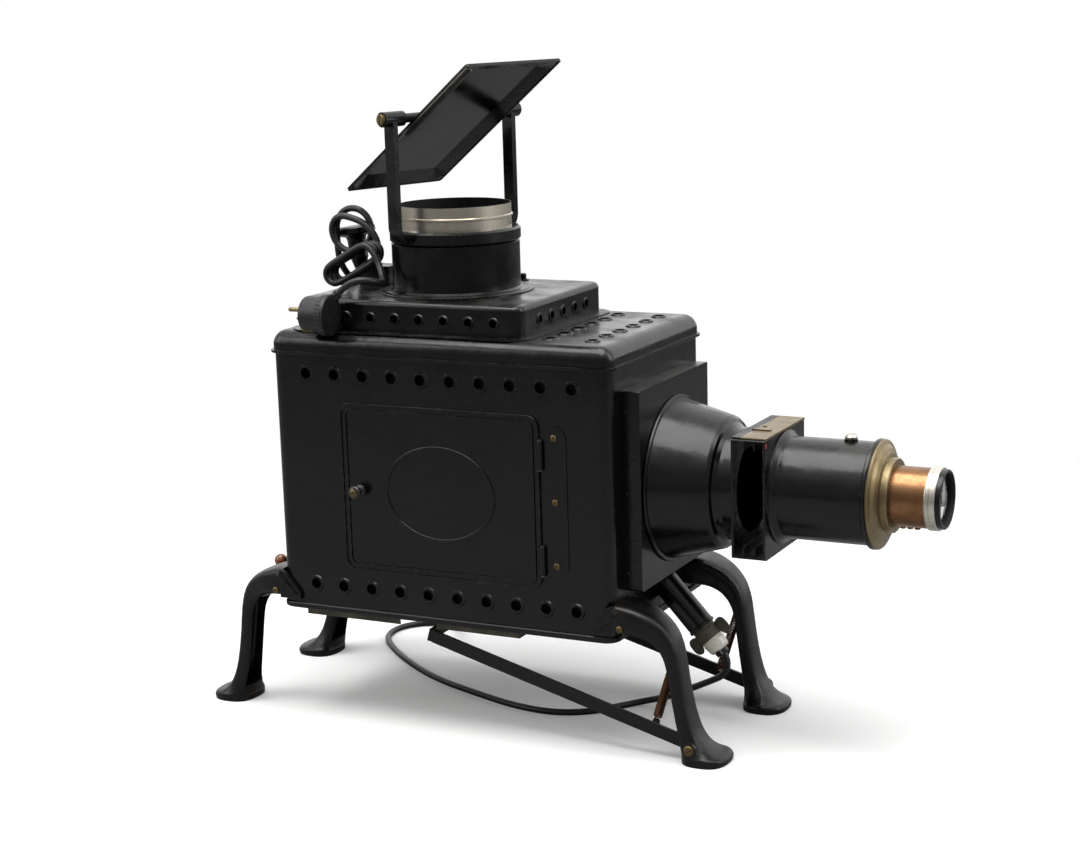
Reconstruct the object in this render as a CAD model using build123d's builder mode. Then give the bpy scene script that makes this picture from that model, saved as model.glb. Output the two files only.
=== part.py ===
from build123d import *
import math
import os

os.makedirs("parts", exist_ok=True)

# ---------------------------------------------------------------- driving dimensions, millimetres
# housing
body_length = 400.0  # end wall to end wall
body_depth = 242.0  # front wall to back wall
body_height = 277.0  # the walls' height
leg_height = 131.0  # floor to the underside of the walls
sheet = 1.2  # sheet steel of the housing
corner_radius = 13.0
fit_gap = 0.3  # between pieces that are only laid together
running_gap = 0.05  # radial clearance of everything that turns or slides

# bottom pan and its window for the page
pan_rim = 7.0
pan_lip = 3.0
pan_floor = 1.5
window_side = 150.0

# vents
vent_radius = 6.0
vent_rim = 9.2
vent_rim_height = 1.3
wall_vent_first = 43.7  # from the left end wall
wall_vent_last = 41.0  # least distance from the last one to the lens end
wall_vent_pitch = 35.0
wall_vent_high = 256.7  # above the bottom of the walls
wall_vent_low = 23.2
baffle_depth = 9.0  # how far the light trap stands off the wall
baffle_height = 34.0

# door
door_length = 238.0
door_height = 185.0
door_from_left = 83.0
door_from_bottom = 43.0
door_radius = 14.0
door_overlap = 7.0
door_bead = 1.4
door_bead_width = 3.0
swage_length = 132.0
swage_height = 104.0
swage_width = 4.0
knob_from_left = 105.5
knob_height = 132.8  # above the bottom of the walls
knob_radius = 7.2
knob_reach = 16.0
knob_screw_head = 1.6
spindle_radius = 2.5
latch_length = 24.0
latch_width = 9.0
hinge_radius = 3.2
hinge_pin_radius = 1.6
knuckle_length = 30.0
upper_knuckle = 187.0  # middle of each knuckle, above the bottom of the walls
lower_knuckle = 75.0
leaf_from_hinge = 15.5
leaf_length = 160.0
leaf_width = 27.0
leaf_thickness = 1.0
hinge_screws = 3
hinge_screw_pitch = 67.6
hinge_screw_middle = 137.8

# top cover and hood
cover_height = 24.0
cover_lip = 3.0
cover_lip_height = 3.0
cover_shoulder = 15.0
cover_vents = 6
cover_vent_pitch = 34.0
cover_row_end = 33.0  # from the last row to the lens end
cover_row_pitch = 48.0
hood_length = 267.0
hood_depth = 205.0
hood_height = 33.0
hood_from_left = 26.0
hood_radius = 14.0
hood_shoulder = 6.0
hood_flange = 12.0
hood_vent_radius = 4.4
hood_vent_rim = 6.6
hood_front_vents = 8
hood_front_pitch = 29.4
hood_end_vents = 5
hood_end_pitch = 28.3
hood_vent_height = 14.5

# chimney, collar, mirror
chimney_from_left = 166.0
chimney_radius = 69.6
chimney_height = 55.0
chimney_flange = 84.3
barrel_radius = 61.5
barrel_wall = 2.0
barrel_top = 94.0  # above the hood
barrel_depth = 81.0
sleeve_wall = 3.4
collar_wall = 6.0
collar_height = 13.4
swivel = 18.8  # how far the yoke is turned from the housing's axis, degrees
arm_clearance = 14.1  # edge of the mirror to the inside of an arm
arm_width = 15.0
arm_thickness = 6.0
arm_bend = 14.0
pivot_height = 188.7  # above the hood
eye_radius = 8.0
pivot_radius = 3.0
mirror_width = 137.0
mirror_length = 239.0
mirror_tilt = 55.6
mirror_offset = 12.5  # pivot to the tray's rim, along the mirror's normal
mirror_slip = -5.6  # pivot to the tray's middle, along its length
tray_depth = 11.0
tray_slope = 18.5
glass_thickness = 2.4

# objective, on the lens axis
lens_height = 144.0  # above the bottom of the walls
plate_width = 185.0
plate_height = 210.0
plate_depth = 20.5
plate_raise = 4.0  # the plate's middle above the lens axis
cone_radius = 84.0
cone_length = 64.0
cone_end = 70.0
neck_radius = 58.8
neck_length = 21.3
gate_width = 119.0
gate_height = 126.0
gate_depth = 36.6
gate_sheet = 2.4
gate_aperture = 50.0
tube_radius = 53.0
tube_length = 98.0
tube_wall = 1.5
draw_length = 45.0
flange_radius = 56.4
step_radius = 38.2
flange_reach = 17.0
objective_radius = 30.7
objective_reach = 38.0
objective_depth = 56.0
ring_radius = 32.4
ring_length = 10.0
cell_length = 5.0
condenser_radius = 58.0
rivet_columns = (4.5, 13.0)  # from the end wall
rivet_heights = (231.0, 145.0, 61.0)  # above the bottom of the walls
rivet_step = 47.0

# lamp
lamp_slope = 47.3  # below the horizontal
lamp_height = 35.4  # where its axis meets the end wall, above the bottom of the walls
lamp_sleeve_radius = 14.5
lamp_sleeve_wall = 1.5
lamp_inside = 70.0
lamp_outside = 72.7
lamp_tube_inside = 90.0
grip_plate_length = 52.0
grip_plate_width = 18.0
grip_plate_turn = 40.0
grip_plate_thickness = 1.6
porcelain_radius = 13.2
porcelain_length = 24.0
bulb_radius = 10.5
bulb_length = 78.0

# legs
toe_reach = 114.0
leg_wall = 4.0
leg_wrap = 4.2
leg_ridge = 2.3
leg_depth = 57.0  # of the toe, along the object's depth
screw_radius = 1.6
screw_head_radius = 3.6
sole = 6.0
frame_pivot_out = 79.0  # beyond the end wall
frame_pivot_height = 17.6

# lever frame, stage, springs
frame_length = 321.0
frame_slope = 15.5
bar_width = 14.0
bar_thickness = 3.0
frame_from_wall = 20.0
stage_length = 263.0
stage_depth = 218.0
stage_from_left = 22.0
stage_sheet = 1.2
stage_edge = 7.0
notch_length = 45.0
notch_depth = 42.0
notch_from_left = 140.0
stage_pin_radius = 2.5
stage_ear_height = 13.0
spring_radius = 4.5  # outside of the turns
spring_neck = 1.2  # of the hooks at its ends
spring_hook = 50.0  # pivot to the stud, along the arm
spring_pin_out = 58.0  # beyond the end wall
spring_pin_height = 116.0

# levers
lever_lean = 7.5
lever_box_length = 38.0
lever_box_width = 26.0
lever_box_height = 22.0
lever_box_from_left = 42.0
lever_box_from_front = 122.0
handle_radius = 22.5
handle_height = 53.0
stud_from_hood_left = 179.0
stud_from_hood_back = 19.5
shaft_from_left = 30.0
shaft_height = 50.0  # above the bottom of the walls
shaft_radius = 4.0
change_from_front = 62.0
ball_radius = 7.5
ball_out = 73.0  # shaft to ball, outwards
ball_drop = 25.0

# cord
cord_diameter = 7.3
cord_rise = 47.0  # the upright loop's axis from the left end wall
loop_radius = 24.0
oval_length = 37.0  # half of it
oval_width = 12.4
oval_lean = 29.0
loop_pitch = 9.8
loop_count = 4
plug_radius = 22.0
plug_length = 31.0
plug_rim = 9.5
pin_radius = 2.4
pin_length = 17.0
pin_spread = 19.0
pin_turn = 38.0

# ---------------------------------------------------------------- places, from the sizes above
objective_total = (plate_depth + cone_length + neck_length + gate_depth + tube_length
                   + 4.4 + flange_reach + objective_reach + ring_length + cell_length - 0.98)
x_left = toe_reach - (toe_reach + body_length + objective_total) / 2
x_right = x_left + body_length
x_middle = (x_left + x_right) / 2
knob_stand_off = knob_reach + knob_screw_head
y_front = knob_stand_off - (body_depth + knob_stand_off + leg_wrap + leg_ridge) / 2
y_back = y_front + body_depth
y_middle = (y_front + y_back) / 2
z_bottom = leg_height
z_top = z_bottom + body_height
z_cover = z_top + cover_height
z_hood = z_cover + hood_height + sheet
z_lens = z_bottom + lens_height
chimney_x = x_left + chimney_from_left
z_pivot = z_hood + pivot_height

front = Plane(origin=(0, y_front, 0), x_dir=(1, 0, 0), z_dir=(0, -1, 0))
back = Plane(origin=(0, y_back, 0), x_dir=(-1, 0, 0), z_dir=(0, 1, 0))
lens_axis = Plane(origin=(x_right, y_middle, z_lens), x_dir=(1, 0, 0), z_dir=(0, -1, 0))
chimney_axis = Plane(origin=(chimney_x, y_middle, z_hood), x_dir=(0, 0, 1), z_dir=(0, 1, 0))
slope = math.radians(lamp_slope)
lamp_direction = Vector(math.cos(slope), 0, -math.sin(slope))
lamp_axis = Plane(origin=(x_right, y_middle, z_bottom + lamp_height),
                  x_dir=lamp_direction, z_dir=(0, -1, 0))
print("x_left", x_left, "x_right", x_right, "y_front", y_front, "objective", objective_total)


# ---------------------------------------------------------------- shared steps
def turned(points, plane, mode=Mode.ADD):
    # A solid of revolution about the plane's x direction; each point is (along it, radius).
    with BuildSketch(plane) as section:
        with BuildLine():
            Polyline(points, close=True)
        make_face()
    revolve(section.sketch, axis=Axis(plane.origin, plane.x_dir), mode=mode)


def rod(plane, start, end, radius, mode=Mode.ADD):
    # A round bar along the plane's x direction.
    across = Plane(origin=plane.from_local_coords((start, 0, 0)), z_dir=plane.x_dir)
    with BuildSketch(across) as section:
        Circle(radius)
    extrude(section.sketch, amount=end - start, mode=mode)


def block(low, high, mode=Mode.ADD):
    # A box between two corners.
    size = [high[i] - low[i] for i in range(3)]
    with Locations([tuple((low[i] + high[i]) / 2 for i in range(3))]):
        Box(*size, mode=mode)


def body_outline(z, grow, radius=corner_radius):
    # The housing's plan at a height, grown all round.
    with BuildSketch(Plane.XY.offset(z)) as plan:
        with Locations((x_middle, y_middle)):
            RectangleRounded(body_length + 2 * grow, body_depth + 2 * grow, radius + grow)
    return plan.sketch


def vents(plane, points, hole, rim, wall):
    # Round holes with a pressed, outward rim.
    with BuildSketch(plane) as rims:
        with Locations(points):
            Circle(rim)
    extrude(rims.sketch, amount=vent_rim_height, taper=35)
    with BuildSketch(plane.offset(vent_rim_height + 1)) as holes:
        with Locations(points):
            Circle(hole)
    extrude(holes.sketch, amount=-(vent_rim_height + wall + 2), mode=Mode.SUBTRACT)


def joined_arcs(points, tangents):
    # A smooth run of arcs through points with known directions, two arcs to each step.
    for a, b, u, v in zip(points, points[1:], tangents, tangents[1:]):
        a, b, u, v = Vector(a), Vector(b), Vector(u).normalized(), Vector(v).normalized()
        chord = b - a
        both = u + v
        spread = 2 * (1 - u.dot(v))
        along = chord.dot(both)
        if spread < 1e-9:
            reach = chord.dot(chord) / (2 * along)
        else:
            reach = (math.sqrt(along * along + spread * chord.dot(chord)) - along) / spread
        middle = (a + b + (u - v) * reach) * 0.5
        TangentArc(a, middle, tangent=u)
        TangentArc(middle, b, tangent=(b - v * reach - middle))


def least_gap(points, diameter, skip):
    # The least clear distance between stretches of one tube, from points along it.
    least = 1e9
    for i, a in enumerate(points):
        for b in points[i + skip:]:
            least = min(least, math.dist(a, b))
    return least - diameter


wall_vents = math.floor((body_length - wall_vent_first - wall_vent_last) / wall_vent_pitch) + 1
wall_points = [(x_left + wall_vent_first + i * wall_vent_pitch, z_bottom + z)
               for z in (wall_vent_high, wall_vent_low) for i in range(wall_vents)]

leaf_x = x_left + door_from_left + door_length + leaf_from_hinge + 1.1
leaf_z = z_bottom + hinge_screw_middle
leaf_screws = [leaf_z + (i - (hinge_screws - 1) / 2) * hinge_screw_pitch for i in range(hinge_screws)]
screw_bore = screw_radius + 0.02

# ---------------------------------------------------------------- housing
knob_x = x_left + knob_from_left
knob_z = z_bottom + knob_height
door_middle_x = x_left + door_from_left + door_length / 2
door_middle_z = z_bottom + door_from_bottom + door_height / 2
opening_length = door_length - 2 * door_overlap
opening_height = door_height - 2 * door_overlap
change_y = y_front + change_from_front
shaft_x = x_left + shaft_from_left
shaft_z = z_bottom + shaft_height
slot_height = 44.0
slot_width = 9.0
shell_height = body_height + 8.0

with BuildPart() as housing_shell:
    extrude(body_outline(z_bottom, 0), amount=shell_height)
    extrude(body_outline(z_bottom, -sheet), amount=shell_height, mode=Mode.SUBTRACT)
    vents(front, wall_points, vent_radius, vent_rim, sheet)
    vents(back, [(-x, z) for x, z in wall_points], vent_radius, vent_rim, sheet)
    # the doorway, with a return all round its edge
    with BuildSketch(front.offset(-sheet)):
        with Locations((door_middle_x, door_middle_z)):
            RectangleRounded(opening_length + 2 * sheet, opening_height + 2 * sheet, door_radius)
    extrude(amount=-6)
    with BuildSketch(front.offset(1)):
        with Locations((door_middle_x, door_middle_z)):
            RectangleRounded(opening_length, opening_height, door_radius - sheet)
    extrude(amount=-10, mode=Mode.SUBTRACT)
    for z in leaf_screws:
        hole = Plane(origin=(leaf_x, y_front, z), x_dir=(0, 1, 0), z_dir=(1, 0, 0))
        rod(hole, -1, sheet + 1, screw_bore, mode=Mode.SUBTRACT)
    # the way through to the objective and the lamp
    rod(lens_axis, -3, 3, condenser_radius - 6, mode=Mode.SUBTRACT)
    rod(lamp_axis, -24, 24, lamp_sleeve_radius + fit_gap, mode=Mode.SUBTRACT)
    # the slot of the changeover lever, and the shaft's two bearings
    block((x_left - 2, change_y - slot_width / 2, shaft_z - slot_height / 2 - 6),
          (x_left + 2, change_y + slot_width / 2, shaft_z + slot_height / 2 - 6), mode=Mode.SUBTRACT)
    for y in (y_front, y_back):
        inside = sheet if y == y_front else -sheet
        bearing = Plane(origin=(shaft_x, y + inside, shaft_z), x_dir=(0, 1 if y == y_front else -1, 0),
                        z_dir=(1, 0, 0))
        rod(bearing, 0, 8, shaft_radius + 4)
        rod(bearing, 0, 9, shaft_radius + running_gap, mode=Mode.SUBTRACT)

# the side walls of the plate on the lens end are riveted to it in two columns
rivet_radius = 1.9
rivet_head = 1.1
with BuildPart() as seam_rivets:
    for side in (1, -1):
        for column, reach in enumerate(rivet_columns):
            for height in rivet_heights[:len(rivet_heights) - column]:
                stand = Plane(origin=(x_right + reach, y_middle - side * (plate_width / 2 + 0.02),
                                      z_bottom + height - column * rivet_step),
                              x_dir=(0, -side, 0), z_dir=(1, 0, 0))
                turned([(0, 0), (0, rivet_radius), (rivet_head * 0.55, rivet_radius * 0.85),
                        (rivet_head, rivet_radius * 0.4), (rivet_head, 0)], stand)

with BuildPart() as base_plate:
    extrude(body_outline(z_bottom - pan_rim, pan_lip), amount=pan_rim)
    fillet(base_plate.edges().group_by(Axis.Z)[0], pan_lip - 0.4)
    fillet(base_plate.edges().group_by(Axis.Z)[-1], pan_lip - 0.6)
    extrude(body_outline(z_bottom - pan_rim - 1, -4), amount=pan_rim - pan_floor + 1, mode=Mode.SUBTRACT)
    with BuildSketch(Plane.XY.offset(z_bottom + 1)):
        with Locations((chimney_x, y_middle)):
            RectangleRounded(window_side, window_side, 8)
    extrude(amount=-(pan_rim + 2), mode=Mode.SUBTRACT)

# angled sheets behind the rows of vents, which let air through and keep light in
with BuildPart() as vent_baffles:
    for height in (wall_vent_high, wall_vent_low):
        for y, side in ((y_front + sheet, 1), (y_back - sheet, -1)):
            z = z_bottom + height
            length = wall_vent_pitch * (wall_vents - 1) + 2 * vent_rim + 6
            x = x_left + wall_vent_first - vent_rim - 3
            near, far = (y + side * 0.02, y + side * baffle_depth)
            low, high = min(near, far), max(near, far)
            block((x, low, z - baffle_height / 2), (x + length, high, z - baffle_height / 2 + sheet))
            outer = sorted((far, far - side * sheet))
            block((x, outer[0], z - baffle_height / 2), (x + length, outer[1], z + baffle_height / 2))

# ---------------------------------------------------------------- top cover
cover_grow = fit_gap + sheet
hood_left = x_left + hood_from_left
hood_right = hood_left + hood_length
row_room = x_right - cover_row_end - hood_right - hood_flange - vent_rim
cover_rows = math.floor(row_room / cover_row_pitch) + 1
vent_rows = [(x_right - cover_row_end - row * cover_row_pitch,
              y_middle + (i - (cover_vents - 1) / 2) * cover_vent_pitch)
             for row in range(cover_rows) for i in range(cover_vents)]
hood_x = (hood_left + hood_right) / 2

with BuildPart() as cover_core:
    extrude(body_outline(z_top - 1, fit_gap), amount=cover_height + 1 - sheet)
    fillet(cover_core.edges().group_by(Axis.Z)[-1], cover_shoulder - sheet)

with BuildPart() as top_cover:
    extrude(body_outline(z_top, cover_grow), amount=cover_height)
    fillet(top_cover.edges().group_by(Axis.Z)[-1], cover_shoulder)
    extrude(body_outline(z_top, cover_grow + cover_lip), amount=cover_lip_height)
    fillet(top_cover.edges().filter_by(lambda e: e.center().Z < z_top + cover_lip_height + 0.01
                                       and e.bounding_box().size.X > 0
                                       and abs(e.bounding_box().max.Z - z_top) < 0.01), 1.2)
    add(cover_core.part, mode=Mode.SUBTRACT)
    vents(Plane.XY.offset(z_cover), vent_rows, vent_radius, vent_rim - 0.6, sheet)
    with BuildSketch(Plane.XY.offset(z_cover + 1)):
        with Locations((hood_x, y_middle)):
            RectangleRounded(hood_length - 34, hood_depth - 30, hood_radius)
    extrude(amount=-(sheet + 2), mode=Mode.SUBTRACT)

# ---------------------------------------------------------------- hood
hood_front = Plane(origin=(0, y_middle - hood_depth / 2, 0), x_dir=(1, 0, 0), z_dir=(0, -1, 0))
hood_rear = Plane(origin=(0, y_middle + hood_depth / 2, 0), x_dir=(-1, 0, 0), z_dir=(0, 1, 0))
hood_east = Plane(origin=(hood_right, 0, 0), x_dir=(0, 1, 0), z_dir=(1, 0, 0))
hood_west = Plane(origin=(hood_left, 0, 0), x_dir=(0, -1, 0), z_dir=(-1, 0, 0))
vent_z = z_cover + sheet + hood_vent_height
long_points = [(hood_x + (i - (hood_front_vents - 1) / 2) * hood_front_pitch, vent_z)
               for i in range(hood_front_vents)]
end_offsets = [(i - (hood_end_vents - 1) / 2) * hood_end_pitch for i in range(hood_end_vents)]


def hood_outline(z, grow):
    with BuildSketch(Plane.XY.offset(z)) as plan:
        with Locations((hood_x, y_middle)):
            RectangleRounded(hood_length + 2 * grow, hood_depth + 2 * grow, hood_radius + grow)
    return plan.sketch


with BuildPart() as hood_core:
    extrude(hood_outline(z_cover - 1, -sheet), amount=hood_height + 1)
    fillet(hood_core.edges().group_by(Axis.Z)[-1], hood_shoulder - sheet)

with BuildPart() as hood:
    extrude(hood_outline(z_cover + 0.02, 0), amount=hood_height + sheet - 0.02)
    fillet(hood.edges().group_by(Axis.Z)[-1], hood_shoulder)
    extrude(hood_outline(z_cover + 0.02, hood_flange), amount=sheet - 0.02)
    add(hood_core.part, mode=Mode.SUBTRACT)
    vents(hood_front, long_points, hood_vent_radius, hood_vent_rim, sheet)
    vents(hood_rear, [(-x, z) for x, z in long_points], hood_vent_radius, hood_vent_rim, sheet)
    vents(hood_east, [(y_middle + y, vent_z) for y in end_offsets], hood_vent_radius, hood_vent_rim, sheet)
    vents(hood_west, [(-y_middle - y, vent_z) for y in end_offsets], hood_vent_radius, hood_vent_rim, sheet)
    rod(chimney_axis, -5, 5, barrel_radius + sleeve_wall + 1.5, mode=Mode.SUBTRACT)

# ---------------------------------------------------------------- chimney
sleeve_bore = barrel_radius + running_gap
sleeve_radius = sleeve_bore + sleeve_wall
collar_bottom = chimney_height + fit_gap
collar_top = collar_bottom + collar_height
chimney_wall = 1.5
with BuildPart() as chimney:
    turned([(0.02, chimney_radius - chimney_wall), (0.02, chimney_flange), (1.4, chimney_flange),
            (1.4, chimney_flange - 3), (2.6, chimney_flange - 5), (2.6, chimney_radius + 3),
            (4.6, chimney_radius),
            (chimney_height - 2, chimney_radius), (chimney_height, chimney_radius - 2),
            (chimney_height, sleeve_radius), (collar_top, sleeve_radius), (collar_top, sleeve_bore),
            (-12, sleeve_bore), (-12, sleeve_radius), (chimney_height - 3, sleeve_radius),
            (chimney_height - 3, chimney_radius - chimney_wall)], chimney_axis)

# ---------------------------------------------------------------- yoke
turn = math.radians(swivel)
pivot_line = Vector(math.sin(turn), math.cos(turn), 0)  # along the mirror's pivots
yoke_out = Vector(math.cos(turn), -math.sin(turn), 0)
yoke_side = Plane(origin=(chimney_x, y_middle, z_hood), x_dir=pivot_line,
                  z_dir=yoke_out)  # across the two arms, with y upwards
pivot_axis = Plane(origin=(chimney_x, y_middle, z_pivot), x_dir=pivot_line, z_dir=yoke_out)
collar_bore = sleeve_radius + running_gap
arm_inside = mirror_width / 2 + arm_clearance
arm_outside = arm_inside + arm_thickness
inner_bend = min(arm_bend, arm_inside - collar_bore - 3.0)
eye_inside = mirror_width / 2 + 1.5
eye_outside = arm_outside + 9.4
with BuildPart() as yoke:
    turned([(collar_bottom, collar_bore), (collar_bottom, collar_bore + collar_wall - 1),
            (collar_bottom + 1, collar_bore + collar_wall), (collar_top - 2, collar_bore + collar_wall),
            (collar_top, collar_bore + collar_wall - 2.5), (collar_top, collar_bore)], chimney_axis)
    for side in (1, -1):
        with BuildSketch(yoke_side.offset(-arm_width / 2)):
            with BuildLine():
                FilletPolyline([(side * (collar_bore + 2.5), collar_bottom + 1),
                                (side * arm_outside, collar_bottom + 1),
                                (side * arm_outside, pivot_height)], radius=inner_bend + arm_thickness)
                Line((side * arm_outside, pivot_height), (side * arm_inside, pivot_height))
                FilletPolyline([(side * arm_inside, pivot_height),
                                (side * arm_inside, collar_bottom + 1 + arm_thickness),
                                (side * (collar_bore + 2.5), collar_bottom + 1 + arm_thickness)],
                                radius=inner_bend)
                Line((side * (collar_bore + 2.5), collar_bottom + 1 + arm_thickness),
                     (side * (collar_bore + 2.5), collar_bottom + 1))
            make_face()
        extrude(amount=arm_width)
        near, far = sorted((side * eye_inside, side * eye_outside))
        rod(pivot_axis, near, far, eye_radius)
        rod(pivot_axis, near - 1, far + 1, pivot_radius + running_gap, mode=Mode.SUBTRACT)
    rod(chimney_axis, collar_bottom - 1, collar_top + 1, collar_bore, mode=Mode.SUBTRACT)

head_thickness = 3.2
pivot_grip = 11.0  # how far each pivot screw reaches into the tray's tube
with BuildPart() as pivot_screws:
    for side in (1, -1):
        inner = side * (mirror_width / 2 - pivot_grip)
        head = side * (eye_outside + 0.02)
        turned([(inner, 0), (inner, pivot_radius), (head, pivot_radius), (head, pivot_radius + 3),
                (head + side * (head_thickness - 1), pivot_radius + 3),
                (head + side * head_thickness, pivot_radius + 1.6),
                (head + side * head_thickness, 0)], pivot_axis)
        slot = Plane(origin=pivot_axis.from_local_coords((head + side * head_thickness, 0, 0)),
                     x_dir=(0, 0, 1), z_dir=(pivot_line * side))
        with BuildSketch(slot):
            Rectangle(14, 1.2)
        extrude(amount=-1.2, mode=Mode.SUBTRACT)

# ---------------------------------------------------------------- mirror
tilt = math.radians(mirror_tilt)
normal = yoke_out * math.cos(tilt) - Vector(0, 0, math.sin(tilt))
mirror_face = Plane(origin=(chimney_x, y_middle, z_pivot), x_dir=pivot_line, z_dir=normal)
tray_back = mirror_offset - tray_depth
glass_width = mirror_width - 2 * tray_slope
glass_length = mirror_length - 2 * tray_slope
seat = tray_back + stage_sheet
glass_top = seat + glass_thickness + 0.1
tray_tube_radius = 5.0


def mirror_outline(depth, width, length, radius):
    with BuildSketch(mirror_face.offset(depth)) as plan:
        with Locations((0, mirror_slip)):
            RectangleRounded(width, length, radius)
    return plan.sketch


rim_depth = 3.0
back_grow = 1.5  # the tray's flat back beyond the glass
slope_out = tray_slope - back_grow
with BuildPart() as tray_core:
    height = mirror_offset - 1 - glass_top
    slant = math.degrees(math.atan((tray_slope - sheet) / height))
    extrude(mirror_outline(seat, glass_width, glass_length, 1), amount=glass_top - seat)
    extrude(mirror_outline(glass_top, glass_width, glass_length, 1), amount=height, taper=-slant)
    extrude(mirror_outline(mirror_offset - 1.01, mirror_width - 2 * sheet, mirror_length - 2 * sheet, 2),
            amount=3)

with BuildPart() as mirror_tray:
    back_width, back_length = glass_width + 2 * back_grow, glass_length + 2 * back_grow
    height = mirror_offset - rim_depth - tray_back - 2
    slant = math.degrees(math.atan(slope_out / height))
    extrude(mirror_outline(tray_back, back_width, back_length, 2), amount=2)
    extrude(mirror_outline(tray_back + 2, back_width, back_length, 2), amount=height, taper=-slant)
    extrude(mirror_outline(mirror_offset - rim_depth, mirror_width, mirror_length, 3), amount=rim_depth)
    rod(pivot_axis, -mirror_width / 2 - 0.9, mirror_width / 2 + 0.9, tray_tube_radius)
    add(tray_core.part, mode=Mode.SUBTRACT)
    for side in (1, -1):
        near, far = sorted((side * (mirror_width / 2 - pivot_grip - 1), side * (mirror_width / 2 + 2)))
        rod(pivot_axis, near, far, pivot_radius + running_gap, mode=Mode.SUBTRACT)

with BuildPart() as mirror_glass:
    extrude(mirror_outline(seat + 0.05, glass_width - 0.6, glass_length - 0.6, 1), amount=glass_thickness)

clip_length = 122.0
clip_width = 8.0
with BuildPart() as mirror_clip:
    with BuildSketch(mirror_face.offset(mirror_offset + 0.02)):
        with Locations((-(mirror_width - clip_width) / 2,
                        mirror_slip + mirror_length / 2 - clip_length / 2 - 3)):
            Rectangle(clip_width, clip_length)
    extrude(amount=1.2)
    with BuildSketch(mirror_face.offset(mirror_offset + 1.22)):
        with Locations((-mirror_width / 2 + clip_width - 1.2,
                        mirror_slip + mirror_length / 2 - clip_length / 2 - 3)):
            Rectangle(1.6, clip_length)
    extrude(amount=2.2)

# ---------------------------------------------------------------- lens over the page
barrel_bottom = barrel_top - barrel_depth
barrel_inside = barrel_radius - barrel_wall
bead_middle = barrel_top - 13.0
lens_seat = 5.0
upper_seat = barrel_bottom + 44.0
lower_seat = barrel_bottom + 8.0
with BuildPart() as episcope_barrel:
    turned([(barrel_bottom, barrel_inside), (barrel_bottom, barrel_radius),
            (bead_middle - 1.8, barrel_radius),
            (bead_middle - 0.9, barrel_radius + 1.5), (bead_middle + 0.9, barrel_radius + 1.5),
            (bead_middle + 1.8, barrel_radius), (barrel_top, barrel_radius),
            (barrel_top, barrel_radius - 0.9),
            (upper_seat, barrel_radius - 0.9), (upper_seat, barrel_inside - lens_seat),
            (upper_seat - 2, barrel_inside - lens_seat), (upper_seat - 2, barrel_inside),
            (lower_seat + 12, barrel_inside), (lower_seat + 12, barrel_inside - lens_seat),
            (lower_seat + 10, barrel_inside - lens_seat), (lower_seat + 10, barrel_inside)], chimney_axis)


def sagitta(radius, bulge):
    # How far a spherical face stands at half its radius, from its bulge at the middle.
    sphere = (radius ** 2 + bulge ** 2) / (2 * bulge)
    return bulge - sphere + math.sqrt(sphere ** 2 - radius ** 2 / 4)


def round_lens(plane, start, edge, radius, bulge_low, bulge_high):
    # A lens of a given edge thickness whose faces bulge out by the two heights.
    low, high = start - bulge_low, start + edge + bulge_high
    with BuildSketch(plane) as section:
        with BuildLine():
            Line((low, 0), (high, 0))
            ThreePointArc((high, 0), (start + edge + sagitta(radius, bulge_high), radius / 2),
                          (start + edge, radius))
            Line((start + edge, radius), (start, radius))
            ThreePointArc((start, radius), (start - sagitta(radius, bulge_low), radius / 2), (low, 0))
        make_face()
    revolve(section.sketch, axis=Axis(plane.origin, plane.x_dir))


upper_bulge = 1.6
upper_sag = upper_bulge * (1 - ((barrel_inside - lens_seat) / (barrel_inside + 1.0)) ** 2)  # at its seat
with BuildPart() as episcope_lenses:
    round_lens(chimney_axis, upper_seat + 0.02 + upper_sag, 4.0, barrel_inside + 1.0, upper_bulge, 7.0)
    round_lens(chimney_axis, lower_seat - 0.3, 10.0, barrel_inside - 0.1, 6.0, 1.5)

# ---------------------------------------------------------------- objective train
plate_sheet = 1.5
cone_start = plate_depth + 0.02
neck_start = plate_depth + cone_length
gate_start = neck_start + neck_length
gate_end = gate_start + gate_depth
tube_end = gate_end + tube_length
cell_tube = condenser_radius + 1.6
with BuildPart() as front_frame:
    face = Plane(origin=(x_right, y_middle, z_lens + plate_raise), x_dir=(0, 1, 0), z_dir=(1, 0, 0))
    with BuildSketch(face.offset(0.02)):
        RectangleRounded(plate_width, plate_height, 2)
    extrude(amount=plate_depth - 0.02)
    with BuildSketch(face.offset(-1)):
        Rectangle(plate_width - 2 * plate_sheet, plate_height - 2 * plate_sheet)
    extrude(amount=plate_depth + 1 - plate_sheet, mode=Mode.SUBTRACT)
    # the condenser's tube hangs from the plate
    rod(lens_axis, 3, plate_depth, cell_tube + 1.6)
    rod(lens_axis, -2, plate_depth + 2, cell_tube + 0.1, mode=Mode.SUBTRACT)
    rod(lamp_axis, -24, 60, lamp_sleeve_radius + fit_gap, mode=Mode.SUBTRACT)

with BuildPart() as condenser_cell:
    turned([(2, condenser_radius - 3), (2, cell_tube), (52, cell_tube), (52, condenser_radius),
            (38, condenser_radius),
            (38, condenser_radius - 3), (36, condenser_radius - 3), (36, condenser_radius),
            (20, condenser_radius),
            (20, condenser_radius - 3), (18, condenser_radius - 3), (18, condenser_radius),
            (4, condenser_radius),
            (4, condenser_radius - 3)], lens_axis)

with BuildPart() as condenser_lenses:
    round_lens(lens_axis, 4.05, 3.0, condenser_radius - 0.1, 0.3, 10.0)
    round_lens(lens_axis, 49.0, 3.0, condenser_radius - 0.1, 10.0, 0.3)

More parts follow.
